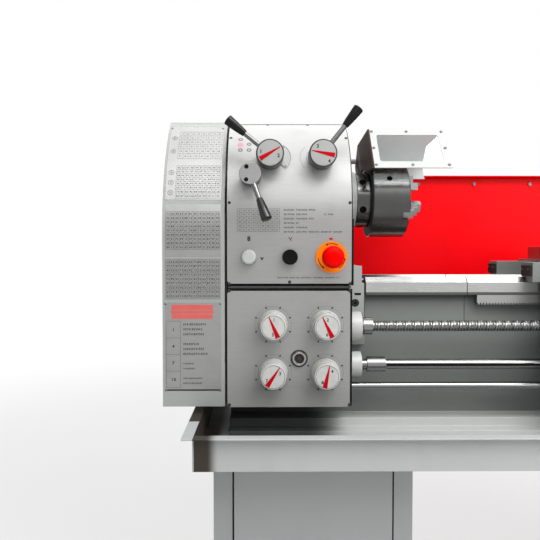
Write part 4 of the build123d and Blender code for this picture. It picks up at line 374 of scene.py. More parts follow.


# Each finish: its recipe, and a slot for pieces that name no other, which settle looks up but gives to no piece.
FINISHES = {
    "casting_paint": (paint_of("paint"), "grey_paint"),
    "cabinet_paint": (paint_of("cabinet", 0.42), "sheet_grey"),
    "tray_paint": (tray_recipe, None),
    "bearing_paint": (paint_of("bearing", 0.34), None),
    "motor_paint": (paint_of("motor", 0.4), "motor_paint"),
    "red_paint": (paint_of("splash", 0.4, 0.1), "red_paint"),
    "label_sheet": (metal_of("label", 0.42, "x", 20.0), "brushed_plate"),
    "brushed_plate": (plate_recipe, None),
    "bed_iron": (ways_recipe, None),
    "saddle_iron": (saddle_recipe, None),
    "chuck_steel": (chuck_recipe, None),
    "cut_steel": (metal_of("steel", 0.34, "x", 20.0), "chrome"),
    "dark_steel": (plastic_of("dark_steel", 0.4, 0.2), "dark_steel"),
    "chrome": (metal_of("chrome", 0.12, "y", 8.0), "chrome"),
    "lever_steel": (metal_of("lever", 0.28, "y", 8.0), "chrome"),
    "screw_steel": (metal_of("screw", 0.3, "y", 4.0), "steel"),
    "black_plastic": (plastic_of("black", 0.16, 0.18), "black_plastic"),
    "gasket": (plastic_of("gasket", 0.8, 0.05), "dark_steel"),
    "dial_face": (plastic_of("dial", 0.34), "ivory_dial"),
    # Painted shade: the near-black finish of the dial and hub sides and of the strip between the castings.
    "dial_side": (plastic_of("dial_side", 0.4, 0.3), "ivory_dial"),
    "hub_grey": (plastic_of("hub", 0.3), "grey_paint"),
    "ivory": (plastic_of("ivory", 0.28), "ivory_dial"),
    "lamp_white": (plastic_of("lamp", 0.3), "lamp_white"),
    "yellow": (plastic_of("yellow", 0.4, 0.1), None),
    "red_plastic": (plastic_of("stop", 0.3, 0.05), "red_plastic"),
    "pointer_red": (plastic_of("pointer", 0.5, 0.1), "red_plastic"),
    "band_red": (plastic_of("band", 0.5, 0.2), "red_plastic"),
    "ink": (plastic_of("ink", 0.6, 0.1), "brushed_plate"),
    "faint_ink": (plastic_of("faint", 0.6, 0.2), "brushed_plate"),
    "soft_ink": (plastic_of("soft", 0.6, 0.2), "brushed_plate"),
    "pink_ink": (plastic_of("pink", 0.6, 0.2), "brushed_plate"),
    "rubber": (plastic_of("rubber", 0.75, 0.2), "black_plastic"),
    "glass": (plastic_of("glass", 0.06, 0.25), "black_plastic"),
    "clear": (clear_recipe, "grey_paint"),
    "guard_paint": (guard_recipe, "grey_paint"),
    "spindle_steel": (spindle_recipe, None),
    "rod_steel": (metal_of("rod", 0.22, "x", 4.0), "steel"),
    "gloss_black": (plastic_of("black", 0.1, 0.4), "black_plastic"),
    "button_black": (plastic_of("black", 0.5, 0.05), "black_plastic"),
    "oil_red": (plastic_of("oil_red", 0.3, 0.2), "red_plastic"),
}
MADE = {}


def finish(name):
    """The material of that name, made the first time it's asked for."""
    if name not in MADE:
        MADE[name] = FINISHES[name][0](Finish(name), bpy.context.scene.lathe_colours)
    return MADE[name]


def coat_nodes(finish_name, *names):
    """Gives CAD nodes a finish through their own material slots."""
    for name in names:
        for slot in NODES[name].material_slots:
            slot.material = finish(finish_name)


# Shapes.


class BentSheet:
    """The front of a casing: upright up to its bend, then curved back."""

    def __init__(self, front, bend, radius):
        self.front = front
        self.bend = bend
        self.radius = radius

    def run(self, z):
        """Distance along the sheet from its bend up to a height."""
        rise = z - self.bend
        return rise if rise < 0.0 else self.radius * math.asin(rise / self.radius)

    def point(self, x, run, lift):
        turn = max(run, 0.0) / self.radius
        out = Vector((0.0, -math.cos(turn), math.sin(turn)))
        centre = Vector((x, self.front + self.radius, self.bend + min(run, 0.0)))
        return centre + out * (self.radius + lift)

    def spot(self, x, z):
        """Maps flat (u, v, lift) around a point of the sheet."""
        run = self.run(z)
        return lambda u, v, lift: self.point(x + u, run + v, lift)

    def place(self, x, z, lift):
        """A point lifted in millimetres and the way out of the sheet there."""
        foot = self.point(x, self.run(z), lift * MM)
        return foot, self.point(x, self.run(z), 1.0) - foot


def upright(front):
    """A flat front."""
    return BentSheet(front, 2.0, 1.0)


def facing(x, y, z):
    """Maps flat (u, v, lift) around a point of an upright face."""
    return lambda u, v, lift: Vector((x + u, y - lift, z + v))


def wedge(length, narrow, wide, degrees):
    """A pointer outline: narrow at the end that points at an angle, wide at the other."""
    flat = [(length, narrow), (-length, wide), (-length, -wide), (length, -narrow)]
    c, s = polar(1.0, degrees)
    return [(u * c - v * s, u * s + v * c) for u, v in flat]


def digits_of(count, first, step, gap=100):
    """A row of plain digits with a space after every few."""
    digits = [str((first + step * i) % 10) for i in range(count)]
    digits[gap - 1 :: gap] = " " * len(digits[gap - 1 :: gap])
    return "".join(digits)


GLYPHS = {}


def glyph(letter):
    """Flat points and faces of a character one unit high, centred across."""
    if letter not in GLYPHS:
        curve = bpy.data.curves.new("glyph", "FONT")
        curve.body = letter
        curve.resolution_u = 2
        curve.offset = LETTER_BOLD
        holder = bpy.data.objects.new("glyph", curve)
        mesh = holder.to_mesh()
        points = [vertex.co.to_2d() for vertex in mesh.vertices]
        faces = [tuple(face.vertices) for face in mesh.polygons]
        holder.to_mesh_clear()
        bpy.data.objects.remove(holder)
        bpy.data.curves.remove(curve)
        centre = (min(p.x for p in points) + max(p.x for p in points)) / 2.0
        GLYPHS[letter] = [(p.x - centre, p.y - LETTER_MIDDLE) for p in points], faces
    return GLYPHS[letter]


class Form:
    """Collects the mesh of one piece. Its sizes are in millimetres and its places in metres."""

    def __init__(self, mesh=None):
        self.facing_out = mesh is not None
        self.mesh = mesh or bmesh.new()

    def skin(self, rings, looped=False):
        """Joins rings of points; the first and last are capped or joined to each other."""
        rows = [[self.mesh.verts.new(point) for point in ring] for ring in rings]
        count = len(rows[0])
        pairs = list(zip(rows, rows[1:]))
        if looped:
            pairs.append((rows[-1], rows[0]))
        else:
            self.mesh.faces.new(rows[0][::-1])
            self.mesh.faces.new(rows[-1])
        for low, high in pairs:
            for i in range(count):
                j = (i + 1) % count
                self.mesh.faces.new((low[i], low[j], high[j], high[i]))
        return self

    def turned(self, profile, origin, axis, sides=48, looped=False):
        """A turned shape from (along, radius) points."""
        axis = axis.normalized()
        side = axis.orthogonal().normalized()
        across = axis.cross(side)
        turns = [2.0 * math.pi * i / sides for i in range(sides)]
        spokes = [side * math.cos(turn) + across * math.sin(turn) for turn in turns]
        rings = []
        for along, radius in profile:
            centre = origin + axis * along * MM
            rings.append([centre + spoke * radius * MM for spoke in spokes])
        return self.skin(rings, looped)

    def ball(self, centre, radius, axis, sides=32):
        """A ball, flat by a hair at the ends of its axis."""
        turns = range(-84, 85, 12)
        return self.turned([polar(radius, turn)[::-1] for turn in turns], centre, axis, sides)

    def prism(self, outline, place, levels=INK):
        """An outline raised from a low to a high level on a mapped face."""
        flat = [(u * MM, v * MM) for u, v in outline]
        return self.skin([[place(u, v, lift * MM) for u, v in flat] for lift in levels])

    def band(self, place, radii, turns=FULL_TURN, levels=INK, steps=24):
        """Part of a flat ring, its angles in degrees."""
        (inner, outer), (start, end), (low, high) = radii, turns, levels
        corners = ((inner, low), (outer, low), (outer, high), (inner, high))
        rings = []
        for i in range(steps + 1):
            c, s = polar(MM, start + (end - start) * i / steps)
            rings.append([place(radius * c, radius * s, lift * MM) for radius, lift in corners])
        whole = turns == FULL_TURN
        return self.skin(rings[:-1] if whole else rings, whole)

    def slab(self, sheet, sides, heights, levels, steps=1):
        """A plate that follows a bent sheet."""
        (left, right), (low, high) = sides, levels
        first, last = (sheet.run(z) for z in heights)
        corners = ((left, low), (right, low), (right, high), (left, high))
        rings = []
        for i in range(steps + 1):
            run = first + (last - first) * i / steps
            rings.append([sheet.point(x, run, lift * MM) for x, lift in corners])
        return self.skin(rings)

    def block(self, low, high, soften=0.0):
        low, high = Vector(low), Vector(high)
        place = Matrix.LocRotScale((low + high) / 2.0, None, high - low)
        made = bmesh.ops.create_cube(self.mesh, size=1.0, matrix=place)
        if soften:
            edges = {edge for vert in made["verts"] for edge in vert.link_edges}
            self.rounded(edges, soften)
        return self

    def rounded(self, edges, width, clamp=False):
        settings = {"segments": 2, "profile": 0.5, "affect": "EDGES", "clamp_overlap": clamp}
        bmesh.ops.bevel(self.mesh, geom=list(edges), offset=width * MM, **settings)

    def letters(self, text, place, size):
        """Characters side by side around a place, each a thin raised shape."""
        for number, letter in enumerate(text):
            if letter == " ":
                continue
            points, faces = glyph(letter)
            shift = (number - (len(text) - 1) / 2.0) * LETTER_STEP
            rows = []
            for level in INK:
                flat = [((u + shift) * size * MM, v * size * MM) for u, v in points]
                rows.append([self.mesh.verts.new(place(u, v, level * MM)) for u, v in flat])
            edges = set()
            for face in faces:
                self.mesh.faces.new([rows[1][i] for i in face])
                self.mesh.faces.new([rows[0][i] for i in reversed(face)])
                edges.update(zip(face, face[1:] + face[:1]))
            for a, b in edges:
                if (b, a) not in edges:
                    self.mesh.faces.new((rows[0][a], rows[0][b], rows[1][b], rows[1][a]))
        return self

    def line(self, text, sheet, left, z, size):
        """Characters that start at the left."""
        centre = left + len(text) * LETTER_STEP / 2.0 * size * MM
        return self.letters(text, sheet.spot(centre, z), size)

    def table(self, sheet, sides, heights, columns, rows, first, step, size):
        """A ruled table of plain numbers on a sheet."""
        left, right = sides
        low, high = (sheet.run(z) for z in heights)
        half = RULE * MM / 2.0
        steps = max(1, int((high - low) / 0.012))
        for i in range(columns + 1):
            x = left + (right - left) * i / columns
            self.slab(sheet, (x - half, x + half), heights, INK, steps)
        for i in range(rows + 1):
            run = low + (high - low) * i / rows
            flat = [(left, -half), (right, -half), (right, half), (left, half)]
            levels = (0.05 * MM, 0.15 * MM)
            self.skin([[sheet.point(x, run + v, lift) for x, v in flat] for lift in levels])
        for row, column in product(range(rows), range(columns)):
            x = left + (right - left) * (column + 0.5) / columns
            run = low + (high - low) * (rows - row - 0.5) / rows
            number = first + step * (row * 3 + column * 2) % 90
            self.letters(str(number), lambda u, v, lift: sheet.point(x + u, run + v, lift), size)
        return self

    def done(self, name, finish_name, body="frame", *replaced, slot=None):
        """Ends the piece: puts it on its body, in place of the CAD nodes it replaces."""
        if not self.facing_out:
            bmesh.ops.remove_doubles(self.mesh, verts=self.mesh.verts, dist=MERGE)
            bmesh.ops.recalc_face_normals(self.mesh, faces=self.mesh.faces)
        data = self.data(name)
        data.materials.append(finish(finish_name))
        return settle(data, name, finish_name, body, *replaced, slot=slot)

    def data(self, name):
        """The collected mesh as mesh data."""
        data = bpy.data.meshes.new(name)
        self.mesh.to_mesh(data)
        self.mesh.free()
        return data


def linked(name, data):
    """A new object in the scene."""
    made = bpy.data.objects.new(name, data)
    bpy.context.scene.collection.objects.link(made)
    return made


def applied(holder):
    """The plain mesh that an object's modifiers leave, in place of the object."""
    graph = bpy.context.evaluated_depsgraph_get()
    data = bpy.data.meshes.new_from_object(holder.evaluated_get(graph), depsgraph=graph)
    bpy.data.objects.remove(holder)
    return data


def settle(data, name, finish_name, body, *replaced, slot=None):
    """Puts a finished mesh on its body, smooth in its bends and flat in its large faces."""
    data.polygons.foreach_set("use_smooth", [True] * len(data.polygons))
    data.set_sharp_from_angle(angle=SMOOTH_ANGLE)
    holder = linked(name, data)
    holder.modifiers.new("flat", "WEIGHTED_NORMAL").keep_sharp = True
    flat = applied(holder)
    bpy.data.meshes.remove(data)
    flat.name = name
    made = linked(name, flat)
    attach(made, body)
    slot or FINISHES[finish_name][1]
    if replaced:
        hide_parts(*replaced)
    return made


def islands(node):
    """The separate solids of a CAD node as merged meshes."""
    whole = bmesh.new()
    whole.from_mesh(NODES[node].data)
    bmesh.ops.remove_doubles(whole, verts=whole.verts, dist=MERGE_CAD)
    whole.verts.index_update()
    seen, parts = set(), []
    for start in whole.verts:
        if start.index in seen:
            continue
        group, waiting = {start.index}, [start]
        while waiting:
            for edge in waiting.pop().link_edges:
                for vert in edge.verts:
                    if vert.index not in group:
                        group.add(vert.index)
                        waiting.append(vert)
        seen |= group
        part = whole.copy()
        others = [vert for vert in part.verts if vert.index not in group]
        bmesh.ops.delete(part, geom=others, context="VERTS")
        parts.append(part)
    whole.free()
    return parts


def middle_of(part):
    points = [vert.co for vert in part.verts]
    ends = [(min(p[i] for p in points), max(p[i] for p in points)) for i in range(3)]
    return Vector([(low + high) / 2.0 for low, high in ends])


def tree_of(name, **inputs):
    """A geometry tree with a geometry, a material and other named inputs, and one output."""
    tree = bpy.data.node_groups.new(name, "GeometryNodeTree")
    for label, kind in {"Geometry": "Geometry", "Material": "Material", **inputs}.items():
        tree.interface.new_socket(label, in_out="INPUT", socket_type="NodeSocket" + kind)
    tree.interface.new_socket("Geometry", in_out="OUTPUT", socket_type="NodeSocketGeometry")
    nodes = Nodes(tree)
    return nodes, nodes.add("NodeGroupInput").outputs


def ended(nodes, given, made):
    """Ends a tree with the real geometry of a node in the given material."""
    real = nodes.add("GeometryNodeRealizeInstances", {0: made.outputs[0]})
    sockets = {"Geometry": real.outputs[0], "Material": given["Material"]}
    painted = nodes.add("GeometryNodeSetMaterial", sockets)
    nodes.add("NodeGroupOutput", {0: painted.outputs[0]})
    return nodes


def copies_tree():
    """Copies of a head on places, turned by their own attribute."""
    nodes, given = tree_of("copies_on_places", Head="Object")
    head = nodes.add("GeometryNodeObjectInfo", {"Object": given["Head"]})
    turn = nodes.add("GeometryNodeInputNamedAttribute", {"Name": "turn"}, data_type="FLOAT_VECTOR")
    sockets = {
        "Points": given["Geometry"],
        "Instance": head.outputs["Geometry"],
        "Rotation": nodes.add("FunctionNodeEulerToRotation", {0: turn.outputs[0]}).outputs[0],
    }
    return ended(nodes, given, nodes.add("GeometryNodeInstanceOnPoints", sockets))


def thread_tree():
    """A ridge that winds along X."""
    floats = dict.fromkeys(("Length", "Turns", "Radius", "Ridge"), "Float")
    nodes, given = tree_of("winding_ridge", Start="Vector", **floats)
    sockets = {
        "Resolution": 18,
        "Rotations": given["Turns"],
        "Start Radius": given["Radius"],
        "End Radius": given["Radius"],
        "Height": given["Length"],
    }
    path = nodes.add("GeometryNodeCurveSpiral", sockets)
    sockets = {"Resolution": 6, "Radius": given["Ridge"]}
    outline = nodes.add("GeometryNodeCurvePrimitiveCircle", sockets, mode="RADIUS")
    sockets = {"Curve": path.outputs[0], "Profile Curve": outline.outputs[0], "Fill Caps": True}
    ridge = nodes.add("GeometryNodeCurveToMesh", sockets)
    sockets = {
        "Geometry": ridge.outputs[0],
        "Translation": given["Start"],
        "Rotation": (0.0, math.pi / 2.0, 0.0),
    }
    return ended(nodes, given, nodes.add("GeometryNodeTransform", sockets))


def grown(nodes, carrier, finish_name, values):
    """The plain mesh that a tree grows on a carrier mesh."""
    holder = linked("carrier", carrier)
    modifier = holder.modifiers.new("grow", "NODES")
    modifier.node_group = nodes.tree
    values = {"Material": finish(finish_name), **values}
    for item in nodes.tree.interface.items_tree:
        if item.in_out == "INPUT" and item.name in values:
            modifier[item.identifier] = values[item.name]
    return applied(holder)


TREES = {}


def copies(name, head, places, finish_name, body="frame", *replaced, slot=None):
    """Copies of a form on (point, out) or (point, out, along) places, as one mesh."""
    if "copies" not in TREES:
        TREES["copies"] = copies_tree()
    carrier = bpy.data.meshes.new("places")
    carrier.from_pydata([place[0] for place in places], [], [])
    turns = carrier.attributes.new("turn", "FLOAT_VECTOR", "POINT")
    for item, (_, out, *rest) in zip(turns.data, places):
        out = out.normalized()
        along = (rest[0] if rest else out.orthogonal()).normalized()
        item.vector = Matrix((along, out.cross(along), out)).transposed().to_euler()
    bmesh.ops.recalc_face_normals(head.mesh, faces=head.mesh.faces)
    model = linked("head", head.data("head"))
    data = grown(TREES["copies"], carrier, finish_name, {"Head": model})
    bpy.data.objects.remove(model)
    return settle(data, name, finish_name, body, *replaced, slot=slot)


def grid(xs, ys, zs, out, *along):
    """Places at every crossing of some coordinates, all facing one way."""
    return [(Vector(point), out, *along) for point in product(xs, ys, zs)]


def round_places(centre, axis, radius, start, count):
    """Places on a circle that face along its axis."""
    side = axis.orthogonal().normalized() * radius * MM
    turns = [math.radians(start + 360.0 * i / count) for i in range(count)]
    return [(centre + Matrix.Rotation(turn, 3, axis) @ side, axis) for turn in turns]


def spread(low, high, inset, count):
    """Even steps between two ends, each inset."""
    span = high - low - 2.0 * inset
    return [low + inset + span * i / (count - 1.0) for i in range(count)]


def line_mark(length, width, height):
    """A scale line on the XY plane, from its half length and half width."""
    return Form().block(Vector((-length, -width, -0.2)) * MM, Vector((length, width, height)) * MM)


def scale_lines(name, mark, centre, axis, radius, count, body):
    """Scale lines round a turned face, along its axis."""
    places = []
    for point, _ in round_places(centre, axis, radius, 0.0, count):
        places.append((point, (point - centre).normalized(), axis))
    copies(name, mark, places, "ink", body, slot="dark_steel")


def screw_head(radius, height):
    """A domed screw head along Z."""
    shape = [(0.0, radius), (height * 0.6, radius), (height, radius * 0.7)]
    return Form().turned(shape, ORIGIN, Z, 18)


def cap_screw(radius, height):
    """A cap screw head with a hollow in its top, along Z."""
    edge = 0.12 * radius
    shape = [(0.0, radius), (height - edge, radius), (height, radius - edge)]
    shape += [(height, 0.56 * radius), (0.45 * height, 0.5 * radius)]
    return Form().turned(shape, ORIGIN, Z, 18)


def quarter_lock():
    """A slotted panel lock."""
    shape = [(0, 13), (2, 13), (3, 11.6), (3, 4), (2, 3.4)]
    return Form().turned(shape, ORIGIN, Z, 32)


def louvre():
    """A pressed air slot with a half-round hood."""
    hood = [polar(5.0, turn) for turn in range(0, 181, 30)]
    ends = (-50, 50)
    return Form().skin([[Vector((x, u, v * 0.7)) * MM for u, v in hood] for x in ends])


def softened(node, finish_name, width, *pulls):
    """A copy of a CAD node in its place, its sharp edges rounded and some sides pulled out."""
    mesh = bmesh.new()
    mesh.from_mesh(NODES[node].data)
    bmesh.ops.remove_doubles(mesh, verts=mesh.verts, dist=MERGE_CAD)
    for axis, edge, shift in pulls:
        for vert in mesh.verts:
            if abs(vert.co[axis] - edge) < PULL_REACH:
                vert.co[axis] += shift * MM
    bmesh.ops.dissolve_limit(mesh, angle_limit=FLAT_ANGLE, verts=mesh.verts, edges=mesh.edges)
    form = Form(mesh)
    sharp = [e for e in mesh.edges if e.is_manifold and e.calc_face_angle() > SHARP_ANGLE]
    form.rounded(sharp, width, True)
    return form.done(node + "_soft", finish_name, BODIES[node], node, slot=SLOTS[node])


# Settings.


def tone(name, description, default):
    return FloatVectorProperty(
        name=name, description=description, default=default, subtype="COLOR", min=0.0, max=1.0
    )


def extent(name, description, default):
    return FloatProperty(name=name, description=description, default=default * MM, unit="LENGTH")


def amount(name, description, default):
    return FloatProperty(name=name, description=description, default=default, min=0.0)


def angle(name, description, degrees):
    turn = math.radians(degrees)
    return FloatProperty(name=name, description=description, default=turn, subtype="ANGLE")


class LatheColours(bpy.types.PropertyGroup):
    """Colours of the finishes."""

    paint: tone("Paint", "Casings and gear cover", (0.335, 0.345, 0.335))
    cabinet: tone("Cabinet", "Cabinet stands", (0.34, 0.35, 0.35))
    tray: tone("Tray", "Chip tray", (0.42, 0.43, 0.43))
    plate: tone("Plate", "Brushed front plates", (0.3, 0.3, 0.295))
    # Painted light: the paler plate colour above the bend stands in for the light falling there.
    plate_top: tone("Plate top", "Upper part of the headstock plate", (0.44, 0.44, 0.435))
    label: tone("Label", "Table plates on the gear cover", (0.31, 0.31, 0.305))
    bed: tone("Bed", "Painted iron of the bed", (0.2, 0.215, 0.205))
    way: tone("Ways", "Ground faces", (0.45, 0.45, 0.44))
    steel: tone("Steel", "Gears, jaws and slides", (0.34, 0.34, 0.335))
    rod: tone("Rods", "Leadscrew, feed rod and control rod", (0.24, 0.24, 0.238))
    nose: tone("Nose", "Spindle and chuck", (0.09, 0.089, 0.088))
    dark_steel: tone("Black steel", "Blacked screws and tool post", (0.03, 0.03, 0.032))
    chrome: tone("Chrome", "Wheels, cranks and rings", (0.6, 0.6, 0.6))
    black: tone("Black", "Grips, balls and the jog button", (0.006, 0.006, 0.006))
    lever: tone("Lever", "Lever rods", (0.15, 0.15, 0.15))
    bearing: tone("Bearing", "Rod bearings", (0.5, 0.5, 0.49))
    # Painted shade: this dark colour marks the tray's left end and rim back where the gear cover's shadow falls.
    oil: tone("Oil", "Oil film in the tray", (0.03, 0.023, 0.016))
    oil_red: tone("Oil red", "Mark of the sight glass", (0.12, 0.02, 0.03))
    screw: tone("Screw", "Bright screws", (0.16, 0.16, 0.16))
    # Painted shade: near black for sides that lie in shade.
    dial_side: tone("Dial side", "Sides of the speed dials", (0.05, 0.05, 0.05))
    gasket: tone("Gasket", "Dark line round the plates", (0.008, 0.008, 0.008))
    dial: tone("Dial", "Faces of the speed dials", (0.365, 0.37, 0.36))
    hub: tone("Hub", "Hub of the feed lever", (0.275, 0.275, 0.275))
    ivory: tone("Ivory", "Gearbox knobs", (0.51, 0.51, 0.49))
    lamp: tone("Lamp", "Signal lamp", (0.46, 0.47, 0.46))
    yellow: tone("Yellow", "Ring of the stop button", (1.0, 0.22, 0.004))
    stop: tone("Stop", "Stop button", (0.8, 0.0, 0.0))
    pointer: tone("Pointer", "Pointers of dials and knobs", (0.45, 0.0, 0.006))
    band: tone("Bands", "Red bands on the gear cover", (0.62, 0.12, 0.11))
    ink: tone("Ink", "Printed lines and numbers", (0.025, 0.025, 0.028))
    faint: tone("Faint ink", "Printed rings", (0.2, 0.2, 0.21))
    soft: tone("Soft ink", "Table below the bend", (0.1, 0.09, 0.1))
    pink: tone("Pink ink", "Spot on the headstock plate", (0.72, 0.3, 0.36))
    splash: tone("Splash guard", "Sheet behind the bed", (1.0, 0.0, 0.004))
    # Painted shade: the dark colour of the guard's side plate, which lies in shade.
    guard: tone("Guard plate", "Dark side plate of the chuck guard", (0.05, 0.03, 0.028))
    motor: tone("Motor", "Drive motor", (0.12, 0.19, 0.26))
    rubber: tone("Rubber", "Belts and wipers", (0.02, 0.02, 0.02))
    glass: tone("Glass", "Sight glass", (0.03, 0.02, 0.02))


class LatheSizes(bpy.types.PropertyGroup):
    """Sizes of trim that the castings carry."""

    seam: extent("Seam", "Thickness of the dark line round the plates", 1.2)
    ring: extent("Knob ring", "Radius of the printed ring round a knob", 35.0)
    pitch: extent("Pitch", "Pitch of the leadscrew thread", 6.0)


class LatheStudio(bpy.types.PropertyGroup):
    """Camera and lamps."""

    place: FloatVectorProperty(
        name="Camera",
        description="Place of the camera",
        default=(-0.702, -1.280, 0.9666),
        subtype="XYZ",
    )
    lens: amount("Lens", "Focal length on a 36 mm sensor", 38.6)
    down: angle("Down", "Tilt below level", 1.78)
    aside: angle("Aside", "Turn to the right", 0.5)
    top: amount("Top lamp", "Power of the lamp above", 60.0)
    front: amount("Front lamp", "Power of the lamp in front", 54.0)
    back: amount("Back lamp", "Power of the lamp behind", 30.0)
    side: amount("Side lamp", "Power of the lamp at the right", 46.0)
    spark: amount("Small lamp", "Power of the small lamp", 24.0)
    ambient: amount("Ambient", "Strength of the even light", 0.2)


# Fronts that carry prints.

PLATE_LOW, PLATE_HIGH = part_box("headstock_plate")
BOX_LOW, BOX_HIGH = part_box("gearbox_plate")
COVER_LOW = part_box("gear_cover")[0]
COVER_EDGE = COVER_LOW.x + 0.120
POCKET = 6.0 * MM
LABEL = 0.5
HEAD_SHEET = BentSheet(PLATE_LOW.y, 1.0465, 0.210)
CASTING_SHEET = BentSheet(PLATE_LOW.y + 5.0 * MM, 1.0465, 0.205)
COVER_SHEET = BentSheet(COVER_LOW.y, 0.996, 0.310)
LABEL_SHEET = BentSheet(COVER_LOW.y - LABEL * MM, 0.996, 0.310 + LABEL * MM)


class Step:
    """Shared by the operators."""

    bl_options = {"REGISTER", "UNDO"}


class LATHE_OT_castings(Step, bpy.types.Operator):
    """Finish the bed, the headstock and the gearbox castings"""

    bl_idname = "lathe.castings"
    bl_label = "Castings"

    def execute(self, context):
        softened("headstock_lid", "casting_paint", 2.0)
        softened("headstock_housing", "casting_paint", 1.2)
        softened("gearbox_housing", "casting_paint", 1.2)
        softened("bed", "bed_iron", 1.2)
        softened("gap_bridge", "bed_iron", 0.6)
        coat_nodes("cut_steel", "rack", "spindle_bearings")
        self.lid()
        self.bolts()
        self.back()
        return {"FINISHED"}

    def lid(self):
        """Screws and the oil filler."""
        low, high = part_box("headstock_lid")
        inset = 14.0 * MM
        ys = (low.y + 84.0 * MM, high.y - inset)
        places = grid(spread(low.x, high.x, inset, 3), ys, (high.z,), Z)
        copies("lid_screws", cap_screw(5, 5), places, "dark_steel")
        base = Vector((low.x + 70.0 * MM, high.y - 60.0 * MM, high.z - 0.5 * MM))
        shape = [(0, 17), (3, 17), (4, 14), (13, 14), (14.5, 12.5), (14.5, 8)]
        Form().turned(shape + [(12, 7)], base, Z, 6).done("oil_filler", "dark_steel")

    def back(self):
        """The screwed plates behind the headstock and at the end of the bed."""
        low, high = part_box("headstock_lid")
        rear = high.y + 2.0 * MM
        plates = Form()
        plates.block((low.x + 0.02, high.y - 1.0 * MM, 0.905), (high.x - 0.02, rear, 1.19), 1.0)
        places = grid(spread(low.x, high.x, 0.03, 3), (rear,), (0.915, 1.18), Y)
        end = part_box("bed")[1].x
        face = end + 3.0 * MM
        plates.block((end - 1.0 * MM, -0.072, 0.665), (face, 0.072, 0.865), 1.0)
        places += grid((face,), (-0.062, 0.062), (0.675, 0.855), X)
        plates.done("back_plates", "casting_paint")
        copies("back_screws", cap_screw(3.6, 2.6), places, "dark_steel")

    def bolts(self):
        """Cap screws of the bearing boss and the rod flanges, and the socket by the headstock."""
        ring = round_places(pivot("spindle_spin", x=BEARING_FACE), X, 54.0, 20.0, 6)
        copies("boss_screws", cap_screw(3.6, 4), ring, "dark_steel")
        low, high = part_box("rod_bearings")
        inset = 12.0 * MM
        places = grid((high.x - 18.0 * MM,), (low.y,), (low.z + inset, high.z - inset), -Y)
        for joint, radius in (("leadscrew_spin", 23.0), ("feed_rod_spin", 20.0)):
            places += round_places(pivot(joint, x=FLANGE_FACE), X, radius, 30.0, 3)
        copies("flange_screws", cap_screw(3.4, 4), places, "dark_steel")
        front = Vector((-0.5165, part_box("bed")[0].y + 56.5 * MM, 0.862))
        # Painted shade: a near-black disc for the socket's hole and a near-black slot above it.
        hole = Form().turned([(0, 8), (0.3, 8), (0.5, 7.4)], front, -Y, 32)
        near, far = front.y - 0.4 * MM, front.y + 1.0 * MM
        hole.block((-0.518, near, 0.878), (-0.5045, far, 0.8826), 0.3)
        hole.done("block_socket", "gasket")
        shape = [(0.2, 6.6), (0.7, 6.4), (0.7, 4), (0.3, 3.6)]
        Form().turned(shape, front, -Y, 6).done("block_screw", "dark_steel")


